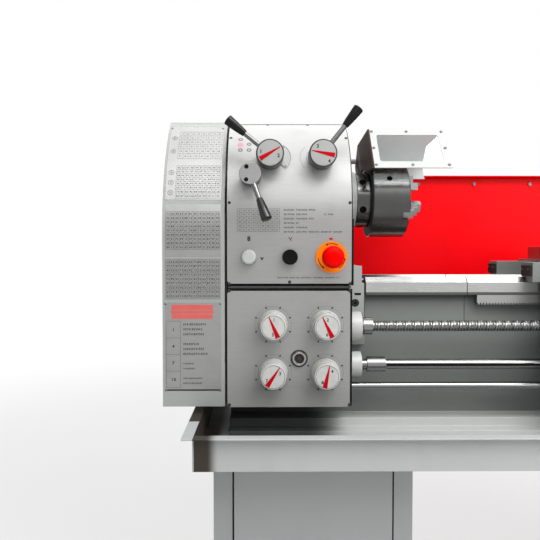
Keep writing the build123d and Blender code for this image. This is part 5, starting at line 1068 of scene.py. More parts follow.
class LATHE_OT_front_plates(Step, bpy.types.Operator):
    """Finish the front plates and print them"""

    bl_idname = "lathe.front_plates"
    bl_label = "Front plates"

    def execute(self, context):
        sides = (0, PLATE_LOW.x, -4.2), (0, PLATE_HIGH.x, 3.4)
        softened("headstock_plate", "brushed_plate", 0.5, *sides)
        sides = (0, BOX_LOW.x, -4.4), (0, BOX_HIGH.x, 1.2), (2, BOX_LOW.z, -4.8)
        softened("gearbox_plate", "brushed_plate", 0.5, *sides)
        sizes = context.scene.lathe_sizes
        self.seams(sizes.seam)
        self.screws()
        self.prints()
        self.rings(sizes.ring / MM)
        self.arc()
        return {"FINISHED"}

    def seams(self, seam):
        """Dark lines round both plates and the strip between the castings."""
        levels = (0.0, seam / MM)
        case_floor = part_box("headstock_housing")[0].z
        box_low, box_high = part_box("gearbox_housing")
        left, right = PLATE_LOW.x - 3.5 * MM, PLATE_HIGH.x + 3.5 * MM
        form = Form()
        for sides in ((left, PLATE_LOW.x + 1.0 * MM), (PLATE_HIGH.x - 1.0 * MM, right)):
            form.slab(CASTING_SHEET, sides, (case_floor, PLATE_HIGH.z), levels, 20)
        for heights in ((case_floor, PLATE_LOW.z), (PLATE_LOW.z, PLATE_LOW.z + POCKET)):
            form.slab(CASTING_SHEET, (left, right), heights, levels)
        outer = (left, right, box_low.z, box_high.z)
        inner = (BOX_LOW.x + POCKET, BOX_HIGH.x - POCKET, BOX_LOW.z + POCKET, BOX_HIGH.z - POCKET)
        rings = []
        for (x0, x1, z0, z1), lift in ((outer, 0.0), (outer, seam), (inner, seam), (inner, 0.0)):
            corners = ((x0, z0), (x1, z0), (x1, z1), (x0, z1))
            rings.append([Vector((x, box_low.y - lift, z)) for x, z in corners])
        form.skin(rings, True)
        # Partly painted shade: the dark trim running past the plates' right edge is their dark edge and also
        # stands in for the shadow beside them.
        bend = 1.03
        for overhang, sheet, *heights in (
            (4.5, CASTING_SHEET, case_floor, bend),
            (2.2, CASTING_SHEET, bend, PLATE_HIGH.z),
            (2.0, upright(box_low.y), box_low.z, box_high.z),
        ):
            sides = (right - 0.5 * MM, right + overhang * MM)
            form.slab(sheet, sides, heights, (-9.0, seam / MM), 20)
        heights = (PLATE_HIGH.z - 0.4 * MM, PLATE_HIGH.z + 1.4 * MM)
        form.slab(CASTING_SHEET, (PLATE_LOW.x, right), heights, (-1, 2.6))
        form.done("plate_gaskets", "gasket", slot="black_plastic")
        # Painted shade: a near-black strip fills the slit between the castings.
        low = (left + 0.5 * MM, box_low.y - 1.0 * MM, box_high.z + 1.2 * MM)
        high = (right - 0.5 * MM, box_low.y + 30.0 * MM, case_floor - 1.2 * MM)
        Form().block(low, high, 0.6).done("seam_strip", "dial_side", slot="brushed_plate")

    def screws(self):
        """Screw heads where the CAD has them."""
        places = []
        for part in islands("panel_screws"):
            centre = middle_of(part)
            part.free()
            places.append(HEAD_SHEET.place(centre.x, centre.z, -0.6))
        head = screw_head(3, 1.6)
        copies("plate_screws", head, places, "dark_steel", "frame", "panel_screws", slot="chrome")

    def prints(self):
        """A table, lines of digits and the signs of the switches."""
        size = 4.2
        form = Form()
        form.table(HEAD_SHEET, (-0.7545, -0.6745), (1.0055, 1.0485), 9, 6, 25, 7, 3.2)
        for row, count in enumerate((23, 17, 22, 11, 18, 43)):
            text = digits_of(count, 5 * row, 3, 9)
            form.line(text, HEAD_SHEET, -0.6665, 1.0464 - row * 8.3 * MM, size)
        form.letters("12 3456", HEAD_SHEET.spot(-0.5815, 1.0381), size)
        form.letters(digits_of(58, 2, 7, 11), HEAD_SHEET.spot(-0.6195, 0.9179), 3.3)
        for shift in (-1.9, 1.9):
            form.band(HEAD_SHEET.spot(-0.7325, 0.9918 + shift * MM), (0.9, 2.9))
        fork = [(-3.8, 3.4), (0, 0.6), (3.8, 3.4), (0.9, -3.4), (-0.9, -3.4)]
        form.prism(fork, HEAD_SHEET.spot(-0.7077, 0.9545))
        spot = HEAD_SHEET.spot(-0.6545, 0.9913)
        form.prism([(-3.4, 3.2), (-1.6, 3.2), (3.4, -3.2), (1.6, -3.2)], spot)
        form.prism([(1.8, 3), (3.4, 3), (3.4, 0.2), (1.8, 0.2)], spot)
        form.done("plate_prints", "ink")
        mark = [(-4.2, 0), (-1.6, 2.2), (1.6, 2.2), (4.2, 0), (2, -1.9), (-2, -1.9)]
        red = Form().prism(mark, HEAD_SHEET.spot(-0.5766, 0.9915))
        red.done("red_prints", "pointer_red", slot="brushed_plate")
        Form().band(HEAD_SHEET.spot(-0.750, 1.1775), (0.2, 6.2)).done("pink_print", "pink_ink")

    def rings(self, ring):
        """Faint rings, with ticks round the knobs."""
        rings, ticks = Form(), Form()
        for x, z in ((-0.750, 1.1895), (-0.750, 1.1655), (-0.733, 1.1785), (-0.733, 1.1655)):
            rings.band(HEAD_SHEET.spot(x, z), (2, 4.8))
        for number in range(1, 5):
            centre = pivot("knob_%d_turn" % number)
            spot = facing(centre.x, BOX_LOW.y, centre.z)
            rings.band(spot, (ring - 0.3, ring + 0.3), steps=64)
            for tick in range(8):
                turn = 22.5 + 45.0 * tick
                ends = (turn - 1.8, turn + 1.8)
                ticks.band(spot, (ring - 2.4, ring + 2.0), ends, (0.06, 0.16), 1)
        for inner in (27, 39.6):
            rings.band(HEAD_SHEET.spot(-0.594, 1.1495), (inner, inner + 0.7), (138, 218))
        rings.done("faint_prints", "faint_ink")
        ticks.done("knob_ticks", "ink")

    def arc(self):
        """The raised arc beside the left speed dial."""
        spot = HEAD_SHEET.spot(-0.6925, 1.1495)
        plate = Form().band(spot, (27.2, 40.5), (-38, 48), (0, 1), 30)
        plate.done("arc_plate", "dial_face", slot="brushed_plate")
        rim = (0.9, 1.3)
        edge = Form().band(spot, (39.3, 41.1), (-39, 49), rim, 30)
        for turn in (-38.4, 48.4):
            edge.band(spot, (27.2, 41), (turn - 1.4, turn + 1.4), rim, 2)
        out = Vector((0.0, -0.85, 0.53))
        for turn in (-34, 44):
            edge.turned([(0, 1.8), (0.9, 1.5)], spot(*polar(36.5 * MM, turn), 1.0 * MM), out, 12)
        edge.done("arc_edge", "screw_steel", slot="brushed_plate")


GRIP_EDGE = 2.5


def lever(names, body, root, way, start, ends, radii, grip_finish="black_plastic"):
    """A rod and its tapered grip, in millimetres out from the root."""
    (low, high), (narrow, wide) = ends, radii
    rod = Form().turned([(start, 4.9), (low + 3.0, 4.7)], root, way, 24)
    rod.done(names[0], "lever_steel", body)
    shape = [(low - 0.6, narrow - 0.8), (low, narrow - 0.2), (low + 1.0, narrow)]
    tip = high - GRIP_EDGE
    for share in (0.25, 0.5, 0.75, 1.0):
        shape.append((low + (tip - low) * share, narrow + (wide - narrow) * share ** 0.8))
    for i in range(1, 5):
        c, s = polar(GRIP_EDGE, 22.5 * i)
        shape.append((tip + s, wide - GRIP_EDGE + c))
    shape.append((high + 0.2, wide * 0.4))
    Form().turned(shape, root, way, 32).done(names[1], grip_finish, body)


class LATHE_OT_speed_dials(Step, bpy.types.Operator):
    """Build the two speed dials with their levers"""

    bl_idname = "lathe.speed_dials"
    bl_label = "Speed dials"

    def execute(self, context):
        digits = (("1", -17.0, 2.6), ("2", 15.6, -4.6))
        self.dial("left", 141.0, 102.5, 30.7, digits)
        digits = (("3", -10.6, 12.4), ("4", 11.0, -14.6))
        self.dial("right", 51.8, 109.5, 168.2, digits)
        return {"FINISHED"}

    def dial(self, side, lever_turn, reach, pointer_turn, digits):
        body = side + "_dial"
        nose = pivot(body + "_turn", y=DIAL_FRONT)
        shape = [(41, 25.3), (39, 26.2), (2.6, 26.2), (1, 25.8), (0.2, 24.9), (0.2, 24)]
        shell = Form().turned(shape + [(0.9, 23.6)], nose, Y, 72)
        shell.turned([(35, 9), (55, 9)], nose, Y, 32)
        # Painted shade: the shell's sides take the near-black side colour.
        shell.done(body + "_shell", "dial_side", body, side + "_speed_dial")
        disc = Form().turned([(1.2, 23.4), (0.35, 23.4), (0.1, 23)], nose, Y, 72)
        disc.done(body + "_face", "dial_face", body)
        face = nose + Y * 0.1 * MM
        mark = Form().prism(wedge(21.8, 0.8, 4.6, pointer_turn), facing(*face), (0, 0.3))
        mark.done(body + "_pointer", "pointer_red", body, slot="ivory_dial")
        ink = Form()
        for text, u, v in digits:
            ink.letters(text, facing(face.x + u * MM, face.y, face.z + v * MM), 9.4)
        ink.done(body + "_digits", "ink", body, slot="ivory_dial")
        u, v = polar(1.0, lever_turn)
        names = (body + "_rod", body + "_grip")
        root, way = moved(nose, y=DIAL_LEVER), Vector((u, 0.0, v))
        lever(names, body, root, way, 23.0, (reach - 42.0, reach), (6.4, 10.2))


class LATHE_OT_feed_lever(Step, bpy.types.Operator):
    """Build the feed direction lever"""

    bl_idname = "lathe.feed_lever"
    bl_label = "Feed lever"

    def execute(self, context):
        body = "feed_direction"
        nose = pivot("feed_direction_turn", y=FEED_FRONT)
        shape = [(48, 19.4), (47.4, 19.8), (1, 19.8), (0.3, 19.5), (0, 18.8)]
        hub = Form().turned(shape, nose, Y, 64).turned([(46, 9), (74, 9)], nose, Y, 32)
        hub.done("feed_hub", "hub_grey", body, "feed_direction_lever")
        shape = [(47.8, 19.7), (47.6, 20.05), (3, 20.05), (2.6, 19.7)]
        skirt = Form().turned(shape, nose, Y, 64)
        # Painted shade: the hub's side takes the near-black side colour.
        skirt.done("feed_hub_side", "dial_side", body, slot="grey_paint")
        holes = Form()
        for u, v in ((-6.4, 11.8), (-7, -11.4)):
            place = nose + Vector((u, 0.0, v)) * MM
            holes.turned([(0.6, 4), (-0.12, 4), (-0.2, 3.4)], place, Y, 24)
        holes.done("feed_hub_holes", "gasket", body)
        u, v = polar(1, -70)
        names = ("feed_rod_of_lever", "feed_grip")
        root, way = moved(nose, y=FEED_LEVER), Vector((u, -0.3, v))
        lever(names, body, root, way, 14.0, (52, 94), (6.2, 10), "gloss_black")
        return {"FINISHED"}


class LATHE_OT_switches(Step, bpy.types.Operator):
    """Build the signal lamp, the jog button and the stop button"""

    bl_idname = "lathe.switches"
    bl_label = "Switches"

    def execute(self, context):
        base = middle("signal_lamp", y=PLATE_LOW.y)
        ring = Form().turned([(-0.1, 15.4), (3.2, 15.4), (4, 14.6)], base, -Y)
        ring.done("lamp_ring", "hub_grey", "frame", "signal_lamp", slot="lamp_white")
        shape = [(3.6, 14.2), (10, 13.9), (15, 13.2), (17, 12.3), (17.7, 11), (18, 9)]
        Form().turned(shape, base, -Y).done("lamp_cap", "lamp_white")
        self.jog()
        self.stop()
        return {"FINISHED"}

    def jog(self):
        base = middle("jog_button", y=PLATE_LOW.y)
        shape = [(0, 14.6), (0.2, 14.6), (0.3, 14.4), (0.3, 10.2), (0, 10.2)]
        Form().turned(shape, base, -Y, looped=True).done("jog_collar", "dark_steel")
        top = (base.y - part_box("jog_button")[0].y) / MM
        shape = [(-18, 4), (3.4, 4), (3.5, 14.4), (top - 1.6, 14.4), (top - 0.4, 13.8)]
        shape += [(top, 12.4), (top - 0.5, 9.0), (top - 0.8, 4.0)]
        Form().turned(shape, base, -Y).done("jog_cap", "button_black", "jog", "jog_button")

    def stop(self):
        coat_nodes("yellow", "estop_collar")
        base = middle("estop_button", y=PLATE_LOW.y)
        top = (base.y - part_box("estop_button")[0].y) / MM
        shape = [(-18, 7.6), (9.2, 7.6), (9.2, 12), (top - 16.0, 12.0), (top - 15.0, 19.0)]
        shape += [(top - 13.6, 20.8), (top - 11.6, 21.2), (top - 8.6, 20.9), (top - 5.0, 19.3)]
        shape += [(top - 2.6, 16.4), (top - 1.0, 12.0), (top - 0.2, 6.6), (top, 1.0)]
        Form().turned(shape, base, -Y, 64).done("stop_head", "red_plastic", "estop", "estop_button")
        marks = Form()
        spot = facing(base.x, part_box("estop_collar")[0].y, base.z)
        for turn in (90.0, 210.0, 330.0):
            end = turn + 18.0
            marks.band(spot, (24.6, 26.2), (turn - 26.0, end), steps=12)
            marks.prism([polar(25.4, turn + 27.0), polar(22.9, end), polar(27.9, end)], spot)
        marks.done("stop_arrows", "ink", slot="yellow")


class LATHE_OT_gearbox_knobs(Step, bpy.types.Operator):
    """Build the four gearbox knobs"""

    bl_idname = "lathe.gearbox_knobs"
    bl_label = "Gearbox knobs"

    def execute(self, context):
        for number, turn in enumerate((113.5, 116.0, 56.0, 77.6), 1):
            self.knob(number, turn)
        return {"FINISHED"}

    def knob(self, number, turn):
        body = "knob_%d" % number
        nose = pivot(body + "_turn", y=KNOB_FRONT)
        shape = [(39.8, 27.6), (38.8, 28.2), (35.6, 28.2), (34.6, 27.6), (2.4, 24), (0.9, 23.7)]
        cap = Form().turned(shape + [(0.2, 23), (0, 22)], nose, Y, 72)
        cap.turned([(38, 6), (60, 6)], nose, Y, 24)
        cap.done(body + "_cap", "ivory", body, "gearbox_" + body)
        spot = facing(*nose)
        ink = Form().band(spot, (20.9, 21.5), levels=(0.04, 0.16), steps=72)
        for text, radius, aside in ((str(number), 14.0, -28.0), (str(number + 4), 13.6, 152.0)):
            u, v = polar(radius * MM, turn + aside)
            ink.letters(text, facing(nose.x + u, nose.y, nose.z + v), 8.4)
        ink.done(body + "_ink", "ink", body, slot="black_plastic")
        mark = Form().prism(wedge(20.6, 0.8, 4.6, turn), spot, (0.02, 0.3))
        mark.done(body + "_pointer", "pointer_red", body)


class LATHE_OT_sight_glass(Step, bpy.types.Operator):
    """Build the oil sight glass"""

    bl_idname = "lathe.sight_glass"
    bl_label = "Sight glass"

    def execute(self, context):
        base = middle("sight_glass", y=BOX_LOW.y)
        shape = [(0, 16.4), (1.6, 16.4), (2.2, 15.6), (2.2, 13.6), (0, 13.6)]
        Form().turned(shape, base, -Y, 56, True).done("glass_washer", "dark_steel")
        shape = [(0, 14.2), (3.6, 14.2), (5.6, 13.6), (6.8, 12.4), (7, 11.2), (6.8, 10)]
        ring = Form().turned(shape + [(5.6, 8.9), (3.6, 8.6), (0, 8.6)], base, -Y, 56, True)
        ring.done("glass_ring", "cut_steel", "frame", "sight_glass")
        shape = [(0, 8.7), (4.2, 8.7), (4.4, 7.8), (3.6, 7), (0, 7)]
        Form().turned(shape, base, -Y, 40, True).done("glass_seal", "rubber")
        shape = [(0, 7.2), (2.8, 7.2), (3.3, 5), (3.5, 2)]
        Form().turned(shape, base, -Y, 40).done("glass_pane", "glass")
        shape = [(3.3, 2.2), (3.6, 1.9), (3.7, 1)]
        Form().turned(shape, base, -Y, 24).done("glass_dot", "oil_red")
        return {"FINISHED"}


class LATHE_OT_gear_cover(Step, bpy.types.Operator):
    """Finish the gear cover and its table plates"""

    bl_idname = "lathe.gear_cover"
    bl_label = "Gear cover"

    def execute(self, context):
        softened("gear_cover", "casting_paint", 1.0, (0, COVER_EDGE, -1.6))
        sides = left, right = COVER_LOW.x + 5.0 * MM, COVER_EDGE - 8.6 * MM
        plates = Form()
        for *heights, steps in (
            (1.066, 1.222, 16), (0.9575, 1.0575, 8), (0.876, 0.9545, 1), (0.7045, 0.8705, 1)
        ):
            plates.slab(COVER_SHEET, sides, heights, (0.0, LABEL), steps)
        plates.done("cover_plates", "label_sheet", "cover")
        self.tables(left, right)
        seam = Form().slab(COVER_SHEET, sides, (0.7020, 0.7040), (0, 0.6))
        seam.done("cover_seam", "gasket", "cover", slot="black_plastic")
        # A rubber seal on the cover's edge that also fills the gap to the headstock with a dark sheet, painted
        # shade for the shaded gap.
        rim = (COVER_EDGE - 0.5 * MM, COVER_EDGE + 3.0 * MM)
        heights = (COVER_LOW.z + 4.0 * MM, 1.231)
        seal = Form().slab(COVER_SHEET, rim, heights, (-14, -4), 24)
        seal.done("cover_seal", "rubber", "cover")
        spots = product((left + 1.5 * MM, right - 1.5 * MM), (0.7032, 0.8680, 1.2190))
        places = [COVER_SHEET.place(x, z, 0.4) for x, z in spots]
        head = screw_head(2.2, 1.2)
        copies("cover_screws", head, places, "screw_steel", "cover", slot="dark_steel")
        self.side()
        return {"FINISHED"}

    def tables(self, left, right):
        """Numbers, lines of digits and red bands on the table plates."""
        sheet = LABEL_SHEET
        near, far = left + 2.0 * MM, right - 2.0 * MM
        beside = (left + 19.0 * MM, far)
        upper = Form().table(sheet, beside, (1.149, 1.210), 8, 6, 16, 5, 4.4)
        for z, inner in product((1.12, 1.1, 1.08, 1.195, 1.165), (4.4, 1.2)):
            upper.band(sheet.spot(left + 9.5 * MM, z), (inner, inner + 1.0))
        upper.done("upper_tables", "faint_ink", "cover")
        table = Form().table(sheet, beside, (1.069, 1.134), 10, 8, 20, 3, 4.6)
        table.done("middle_table", "soft_ink", "cover")
        lower = Form()
        lower.table(sheet, (near, far), (0.9715, 1.0430), 12, 9, 11, 7, 5.2)
        lower.table(sheet, (near, far), (0.8790, 0.9520), 12, 9, 12, 5, 5.6)
        lower.table(sheet, (near, left + 29.0 * MM), (0.7075, 0.8350), 1, 4, 1, 1, 8.0)
        for row, count in enumerate((13, 11, 12, 0, 9, 12, 14, 0, 8, 9, 0, 14, 14)):
            text = digits_of(count, 3 * row, 7)
            size = 5.4 if row < 8 else 4.2
            lower.line(text, sheet, left + 34.0 * MM, 0.8290 - row * 9.4 * MM, size)
        lower.done("lower_tables", "ink", "cover")
        band = Form()
        for *heights, inset in (
            (0.8560, 0.8665, 12.0), (0.8490, 0.8552, 11.0), (0.8395, 0.8482, 12.5)
        ):
            ends = (left + inset * MM, right - inset * 1.3 * MM)
            band.slab(sheet, ends, heights, (0, 0.2))
        band.done("cover_red_bands", "band_red", "cover")

    def side(self):
        """The grommet of the bar hole, the locks and the air slots in the cover's end."""
        hole = pivot("spindle_spin", x=COVER_LOW.x)
        ring = [(-3.6, 29.9), (-3.6, 32), (-3, 34), (0, 34), (2.2, 33), (2.6, 30)]
        ring += [(1.6, 27.6), (-2.6, 27.6)]
        Form().turned(ring, hole, -X, 48, True).done("bar_grommet", "rubber", "cover")
        locks = grid((COVER_LOW.x,), (-0.135,), (0.75, 0.96), -X)
        copies("cover_locks", quarter_lock(), locks, "chrome", "cover")
        heights = [0.72 + LOUVRE_PITCH * row for row in range(8)]
        slots = grid((COVER_LOW.x,), (0.1,), heights, -X, Y)
        copies("cover_louvres", louvre(), slots, "casting_paint", "cover")


class LATHE_OT_drive(Step, bpy.types.Operator):
    """Finish the motor, the belts and the change gears"""

    bl_idname = "lathe.drive"
    bl_label = "Drive"

    def execute(self, context):
        softened("motor", "motor_paint", 2.0)
        coat_nodes("rubber", "drive_belts")
        coat_nodes("cut_steel", "stud_gear", "idler_gear", "input_gear", "input_shaft")
        coat_nodes("dark_steel", "motor_pulley")
        softened("gear_quadrant", "dark_steel", 0.8)
        low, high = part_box("motor")
        axis = pivot("motor_pulley_spin")
        radius = (axis.z - low.z) / MM
        foot, rim = radius - 2.0, radius + 3.0
        shape = [(-1.2, foot), (1.2, foot), (0.8, rim), (-0.8, rim)]
        fin = Form().turned(shape, ORIGIN, Z, 48, True)
        fins = [(moved(axis, x=low.x + (24.0 + 10.0 * i) * MM), X) for i in range(15)]
        copies("motor_fins", fin, fins, "motor_paint")
        cowl = [(0.0, foot), (0.0, radius + 2.4), (62.0, radius + 2.0), (70.0, radius - 4.0)]
        cowl.append((74.2, radius - 14.0))
        end = moved(axis, x=high.x - 74.0 * MM)
        Form().turned(cowl, end, X, 56).done("motor_cowl", "motor_paint")
        face = moved(axis, x=high.x + 0.2 * MM)
        vent = Form().block((-0.007, -0.0022, 0.0), (0.007, 0.0022, 0.0004))
        places = []
        for ring, count in ((22, 8), (36, 12), (50, 16)):
            for point, out in round_places(face, X, ring, 0.0, count):
                places.append((point, out, (point - face).normalized()))
        copies("motor_vents", vent, places, "gasket")
        left, front = low.x + 40.0 * MM, axis.y - 45.0 * MM
        xs = (left + 8.0 * MM, left + 102.0 * MM)
        places = grid(xs, (front + 8.0 * MM, front + 82.0 * MM), (high.z,), Z)
        copies("terminal_screws", cap_screw(3.2, 3), places, "screw_steel")
        return {"FINISHED"}


class LATHE_OT_spindle(Step, bpy.types.Operator):
    """Finish the spindle, the chuck and its guard"""

    bl_idname = "lathe.spindle"
    bl_label = "Spindle and chuck"

    def execute(self, context):
        coat_nodes("spindle_steel", "spindle")
        softened("chuck_body", "chuck_steel", 0.8)
        for number in range(1, 4):
            softened("chuck_jaw_%d" % number, "cut_steel", 0.8)
        face = pivot("spindle_spin", x=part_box("chuck_body")[1].x)
        ring = round_places(face, X, 62.0, 30.0, 6)
        copies("chuck_screws", cap_screw(5, 1.2), ring, "dark_steel", "spindle")
        nose = pivot("spindle_spin", x=NOSE_SOCKETS)
        # Painted shade: near-black plugs fill the camlock sockets of the nose.
        plugs = Form()
        for turn in range(36, 396, 60):
            u, v = polar(1.0, turn)
            out = Vector((0.0, -u, v))
            shape = [(0, 7.6), (4.6, 7.6), (4.6, 4), (2, 3.6)]
            plugs.turned(shape, nose + out * 0.0505, out, 24)
        plugs.done("nose_locks", "gasket", "spindle")
        self.guard(nose.z)
        return {"FINISHED"}

    def guard(self, height):
        """The guard's sheet and window, and the screws round the window."""
        sheet, window = sorted(islands("chuck_guard"), key=lambda part: -part.calc_volume())
        Form(sheet).done("guard_sheet", "guard_paint", "guard", "chuck_guard")
        Form(window).done("guard_window", "clear", "guard")
        foot = Vector((GUARD_LEFT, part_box("chuck_guard")[0].y, height + 54.0 * MM))
        rise = Vector((0.0, 68.0, 90.0)).normalized()
        spots = [*product((7.0, 80.0, 153.0), (8, 105)), (7, 56), (153, 56)]
        places = [(foot + (X * x + rise * along) * MM, X.cross(rise)) for x, along in spots]
        copies("guard_screws", screw_head(3.2, 1.8), places, "screw_steel", "guard")


class LATHE_OT_rods(Step, bpy.types.Operator):
    """Build the leadscrew and finish the rods below the bed"""

    bl_idname = "lathe.rods"
    bl_label = "Leadscrew and rods"

    def execute(self, context):
        coat_nodes("rod_steel", "feed_rod", "control_rod")
        softened("rod_bearings", "bearing_paint", 1.5)
        feed = pivot("feed_rod_spin")
        half = 2.4 * MM
        low = (-0.462, feed.y - 10.2 * MM, feed.z - half)
        Form().block(low, (0.726, feed.y, feed.z + half)).done("feed_keyway", "gasket", "feed_rod")
        self.leadscrew(context.scene.lathe_sizes.pitch)
        return {"FINISHED"}

    def leadscrew(self, pitch):
        """The core with its journals, and the thread wound round it."""
        low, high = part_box("leadscrew")
        start = middle("leadscrew", x=low.x)
        full = (high.x - low.x) / MM
        collar = (BEARING_FACE - low.x) / MM
        shape = [(0, 11), (collar, 11.0), (collar, 17.0), (collar + 18.0, 17.0)]
        shape += [(collar + 18.0, 8.6), (full - 32.0, 8.6), (full - 32.0, 11.0), (full, 11.0)]
        core = Form().turned(shape, start, X, 40)
        core.done("leadscrew_core", "rod_steel", "leadscrew", "leadscrew")
        begin = start + X * (collar + 22.0) * MM
        run = high.x - 36.0 * MM - begin.x
        values = {
            "Length": run,
            "Turns": run / pitch,
            "Radius": 8.9 * MM,
            "Ridge": 2.05 * MM,
            "Start": begin,
        }
        data = grown(thread_tree(), bpy.data.meshes.new("path"), "rod_steel", values)
        settle(data, "leadscrew_thread", "rod_steel", "leadscrew")


# Shares of a handle's length and of its radius.
HANDLE_SHAPE = (
    (0, 0.55), (0.04, 0.66), (0.16, 0.62), (0.4, 0.8),
    (0.64, 1), (0.84, 0.97), (0.93, 0.8), (0.985, 0.5),
)


def handle(body, root, out, length, radius):
    """A black turned handle, clear of its root."""
    shape = [(length * along, radius * share) for along, share in HANDLE_SHAPE]
    grip = Form().turned(shape, root + out * 8.0 * MM, out, 32)
    grip.done(body + "_handle", "black_plastic", body)


def handwheel(body, centre, out, up, shaft, standoff, depth):
    """A three-spoke wheel on its shaft, with a black handle on the spoke that points up."""
    rim, middle_plane = 7.4, 1.4
    edge = [polar(rim, turn) for turn in range(0, 360, 24)]
    outline = [(u - middle_plane, 70.0 - rim + v) for u, v in edge]
    wheel = Form().turned(outline, centre, out, 72, True)
    for turn in range(0, 360, 120):
        way = Matrix.Rotation(math.radians(turn), 3, out) @ up
        wheel.turned([(8, 7.2), (58, 5.4)], centre - out * middle_plane * MM, way, 20)
    back = 0.3 - standoff
    boss, neck = 2.0 * shaft, 1.3 * shaft
    shape = [(-standoff - depth, shaft), (back, shaft), (back, boss - 1.0), (back + 1.0, boss)]
    shape += [(6.0, 1.8 * shaft), (12.5, neck), (14.0, neck - 1.5), (14, 5), (12, 4)]
    wheel.turned(shape, centre, out, 48)
    root = centre + up * 62.8 * MM
    wheel.turned([(0, 6.6), (7.6, 6.6), (8.4, 5.8)], root, out, 24)
    wheel.done(body + "_rim", "chrome", body, NODES_OF[body][0])
    handle(body, root, out, 54.0, 9.5)


def ball_lever(body, hub, root, way, reach, bar, ball, slot="chrome"):
    """A lever: a turned hub (profile, origin, axis), a tapered bar and a black ball."""
    way = way.normalized()
    arm = Form().turned(*hub, 40)
    arm.turned([(0.0, bar * 1.2), (reach, bar * 0.85)], root, way, 24)
    arm.done(body + "_arm", "chrome", body, NODES_OF[body][0], slot=slot)
    knob = Form().ball(root + way * reach * MM, ball, way)
    inner = reach - ball
    knob.turned([(inner - 2.0, bar * 1.3), (inner + 3.0, bar * 1.5)], root, way, 24)
    knob.done(body + "_ball", "black_plastic", body)


def crank(body, place, out, across, dial, screw, inward, gap):
    """A ball crank with a graduated dial on its feed screw."""
    neck, short, long = 0.45 * dial, 27.6, 46.0
    shape = [(-inward, screw), (0.3, screw), (0.3, dial - 0.8), (1.1, dial), (21.2, dial)]
    shape += [(22.0, dial - 0.8), (22.0, neck), (gap, neck), (gap, 12.0), (gap + 1.0, 13.0)]
    shape += [(gap + 13.0, 13.0), (gap + 14.0, 12.0)]
    arm = Form().turned(shape, place, out, 56)
    hub = place + out * (gap + 7.0) * MM
    arm.turned([(-short, 4.6), (0, 6), (long, 4.8)], hub, across, 24)
    arm.ball(hub - across * short * MM, 9.0, across)
    root = hub + across * long * MM
    shape = [(-7, 8), (-6, 9), (6, 9), (7, 8), (8.4, 5)]
    arm.turned(shape, root, out, 32)
    arm.done(body + "_arm", "chrome", body, NODES_OF[body][0])
    handle(body, root, out, 40.0, 8.0)
    tick = line_mark(3.0, 0.25, 0.12)
    scale_lines(body + "_lines", tick, place + out * 17.5 * MM, out, dial, 50, body)


class LATHE_OT_carriage(Step, bpy.types.Operator):
    """Finish the saddle, the apron and their controls"""

    bl_idname = "lathe.carriage"
    bl_label = "Carriage"

    def execute(self, context):
        softened("apron", "casting_paint", 2.0)
        softened("saddle", "saddle_iron", 1.5)
        low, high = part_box("apron")
        wheel = pivot("carriage_wheel_turn", y=low.y - 0.032)
        handwheel("carriage_wheel", wheel, -Y, -Z, 10.0, 32.0, 18.0)
        origin = pivot("nut_lever_turn", y=low.y)
        u, v = polar(1, 70)
        shape = [(-18, 10), (0.3, 10), (0.3, 17), (1.3, 18), (24, 16.2), (26, 14.4)]
        root = origin - Y * 15.6 * MM
        hub = (shape, origin, -Y)
        ball_lever("nut_lever", hub, root, Vector((u, -0.25, v)), 106.0, 6.0, 13.0)
        left = pivot("start_lever_turn", x=high.x + 0.3 * MM)
        shape = [(0, 8.4), (0, 15), (1, 16), (25, 16), (26, 15), (26, 8.4)]
        way = Vector((0.0, -0.94, 0.34)).normalized()
        root = left + (X * 13.0 + way * 9.0) * MM
        ball_lever("start_lever", (shape, left, X), root, way, 86.0, 6.0, 15.0, "dark_steel")
        self.apron(low, high)
        self.wipers()
        return {"FINISHED"}

    def apron(self, low, high):
        """Screws, sight glass and table plate."""
        front = low.y
        inset = 12.0 * MM
        xs = (low.x + inset, high.x - inset)
        places = grid(xs, (front,), (low.z + inset, high.z - 14.0 * MM), -Y)
        copies("apron_screws", cap_screw(4.2, 4), places, "dark_steel", "carriage")
        glass = Vector((0.0, front, low.z + 46.0 * MM))
        shape = [(0, 13), (3, 13), (4.6, 11), (4, 9), (0, 9)]
        Form().turned(shape, glass, -Y, 40, True).done("apron_glass_ring", "chrome", "carriage")
        pane = Form().turned([(0, 9.2), (2.6, 9.2), (3, 6)], glass, -Y, 32)
        pane.done("apron_glass", "glass", "carriage")
        face = front - 1.2 * MM
        plate = Form().block((-0.005, face, 0.845), (0.055, front + 0.5 * MM, 0.885), 0.5)
        plate.done("apron_plate", "label_sheet", "carriage")
        marks = Form().table(upright(face), (-0.002, 0.052), (0.848, 0.882), 5, 4, 10, 7, 4.0)
        marks.done("apron_table", "ink", "carriage")

    def wipers(self):
        """Rubber wipers on the ways at both ends of the saddle."""
        low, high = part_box("saddle")
        rubber, screws = Form(), []
        for x, out in ((low.x, -X), (high.x, X)):
            face = x + out.x * 5.0 * MM
            near, far = sorted((x - out.x * 1.0 * MM, face))
            for y0, y1 in ((-0.111, -0.070), (0.072, 0.111)):
                rubber.block((near, y0, low.z + 12.0 * MM), (far, y1, low.z + 34.0 * MM), 1.0)
                ys = (y0 + 7.0 * MM, y1 - 7.0 * MM)
                screws += grid((face,), ys, (low.z + 26.0 * MM,), out)
        rubber.done("way_wipers", "rubber", "carriage")
        copies("wiper_screws", screw_head(2.8, 1.8), screws, "screw_steel", "carriage")


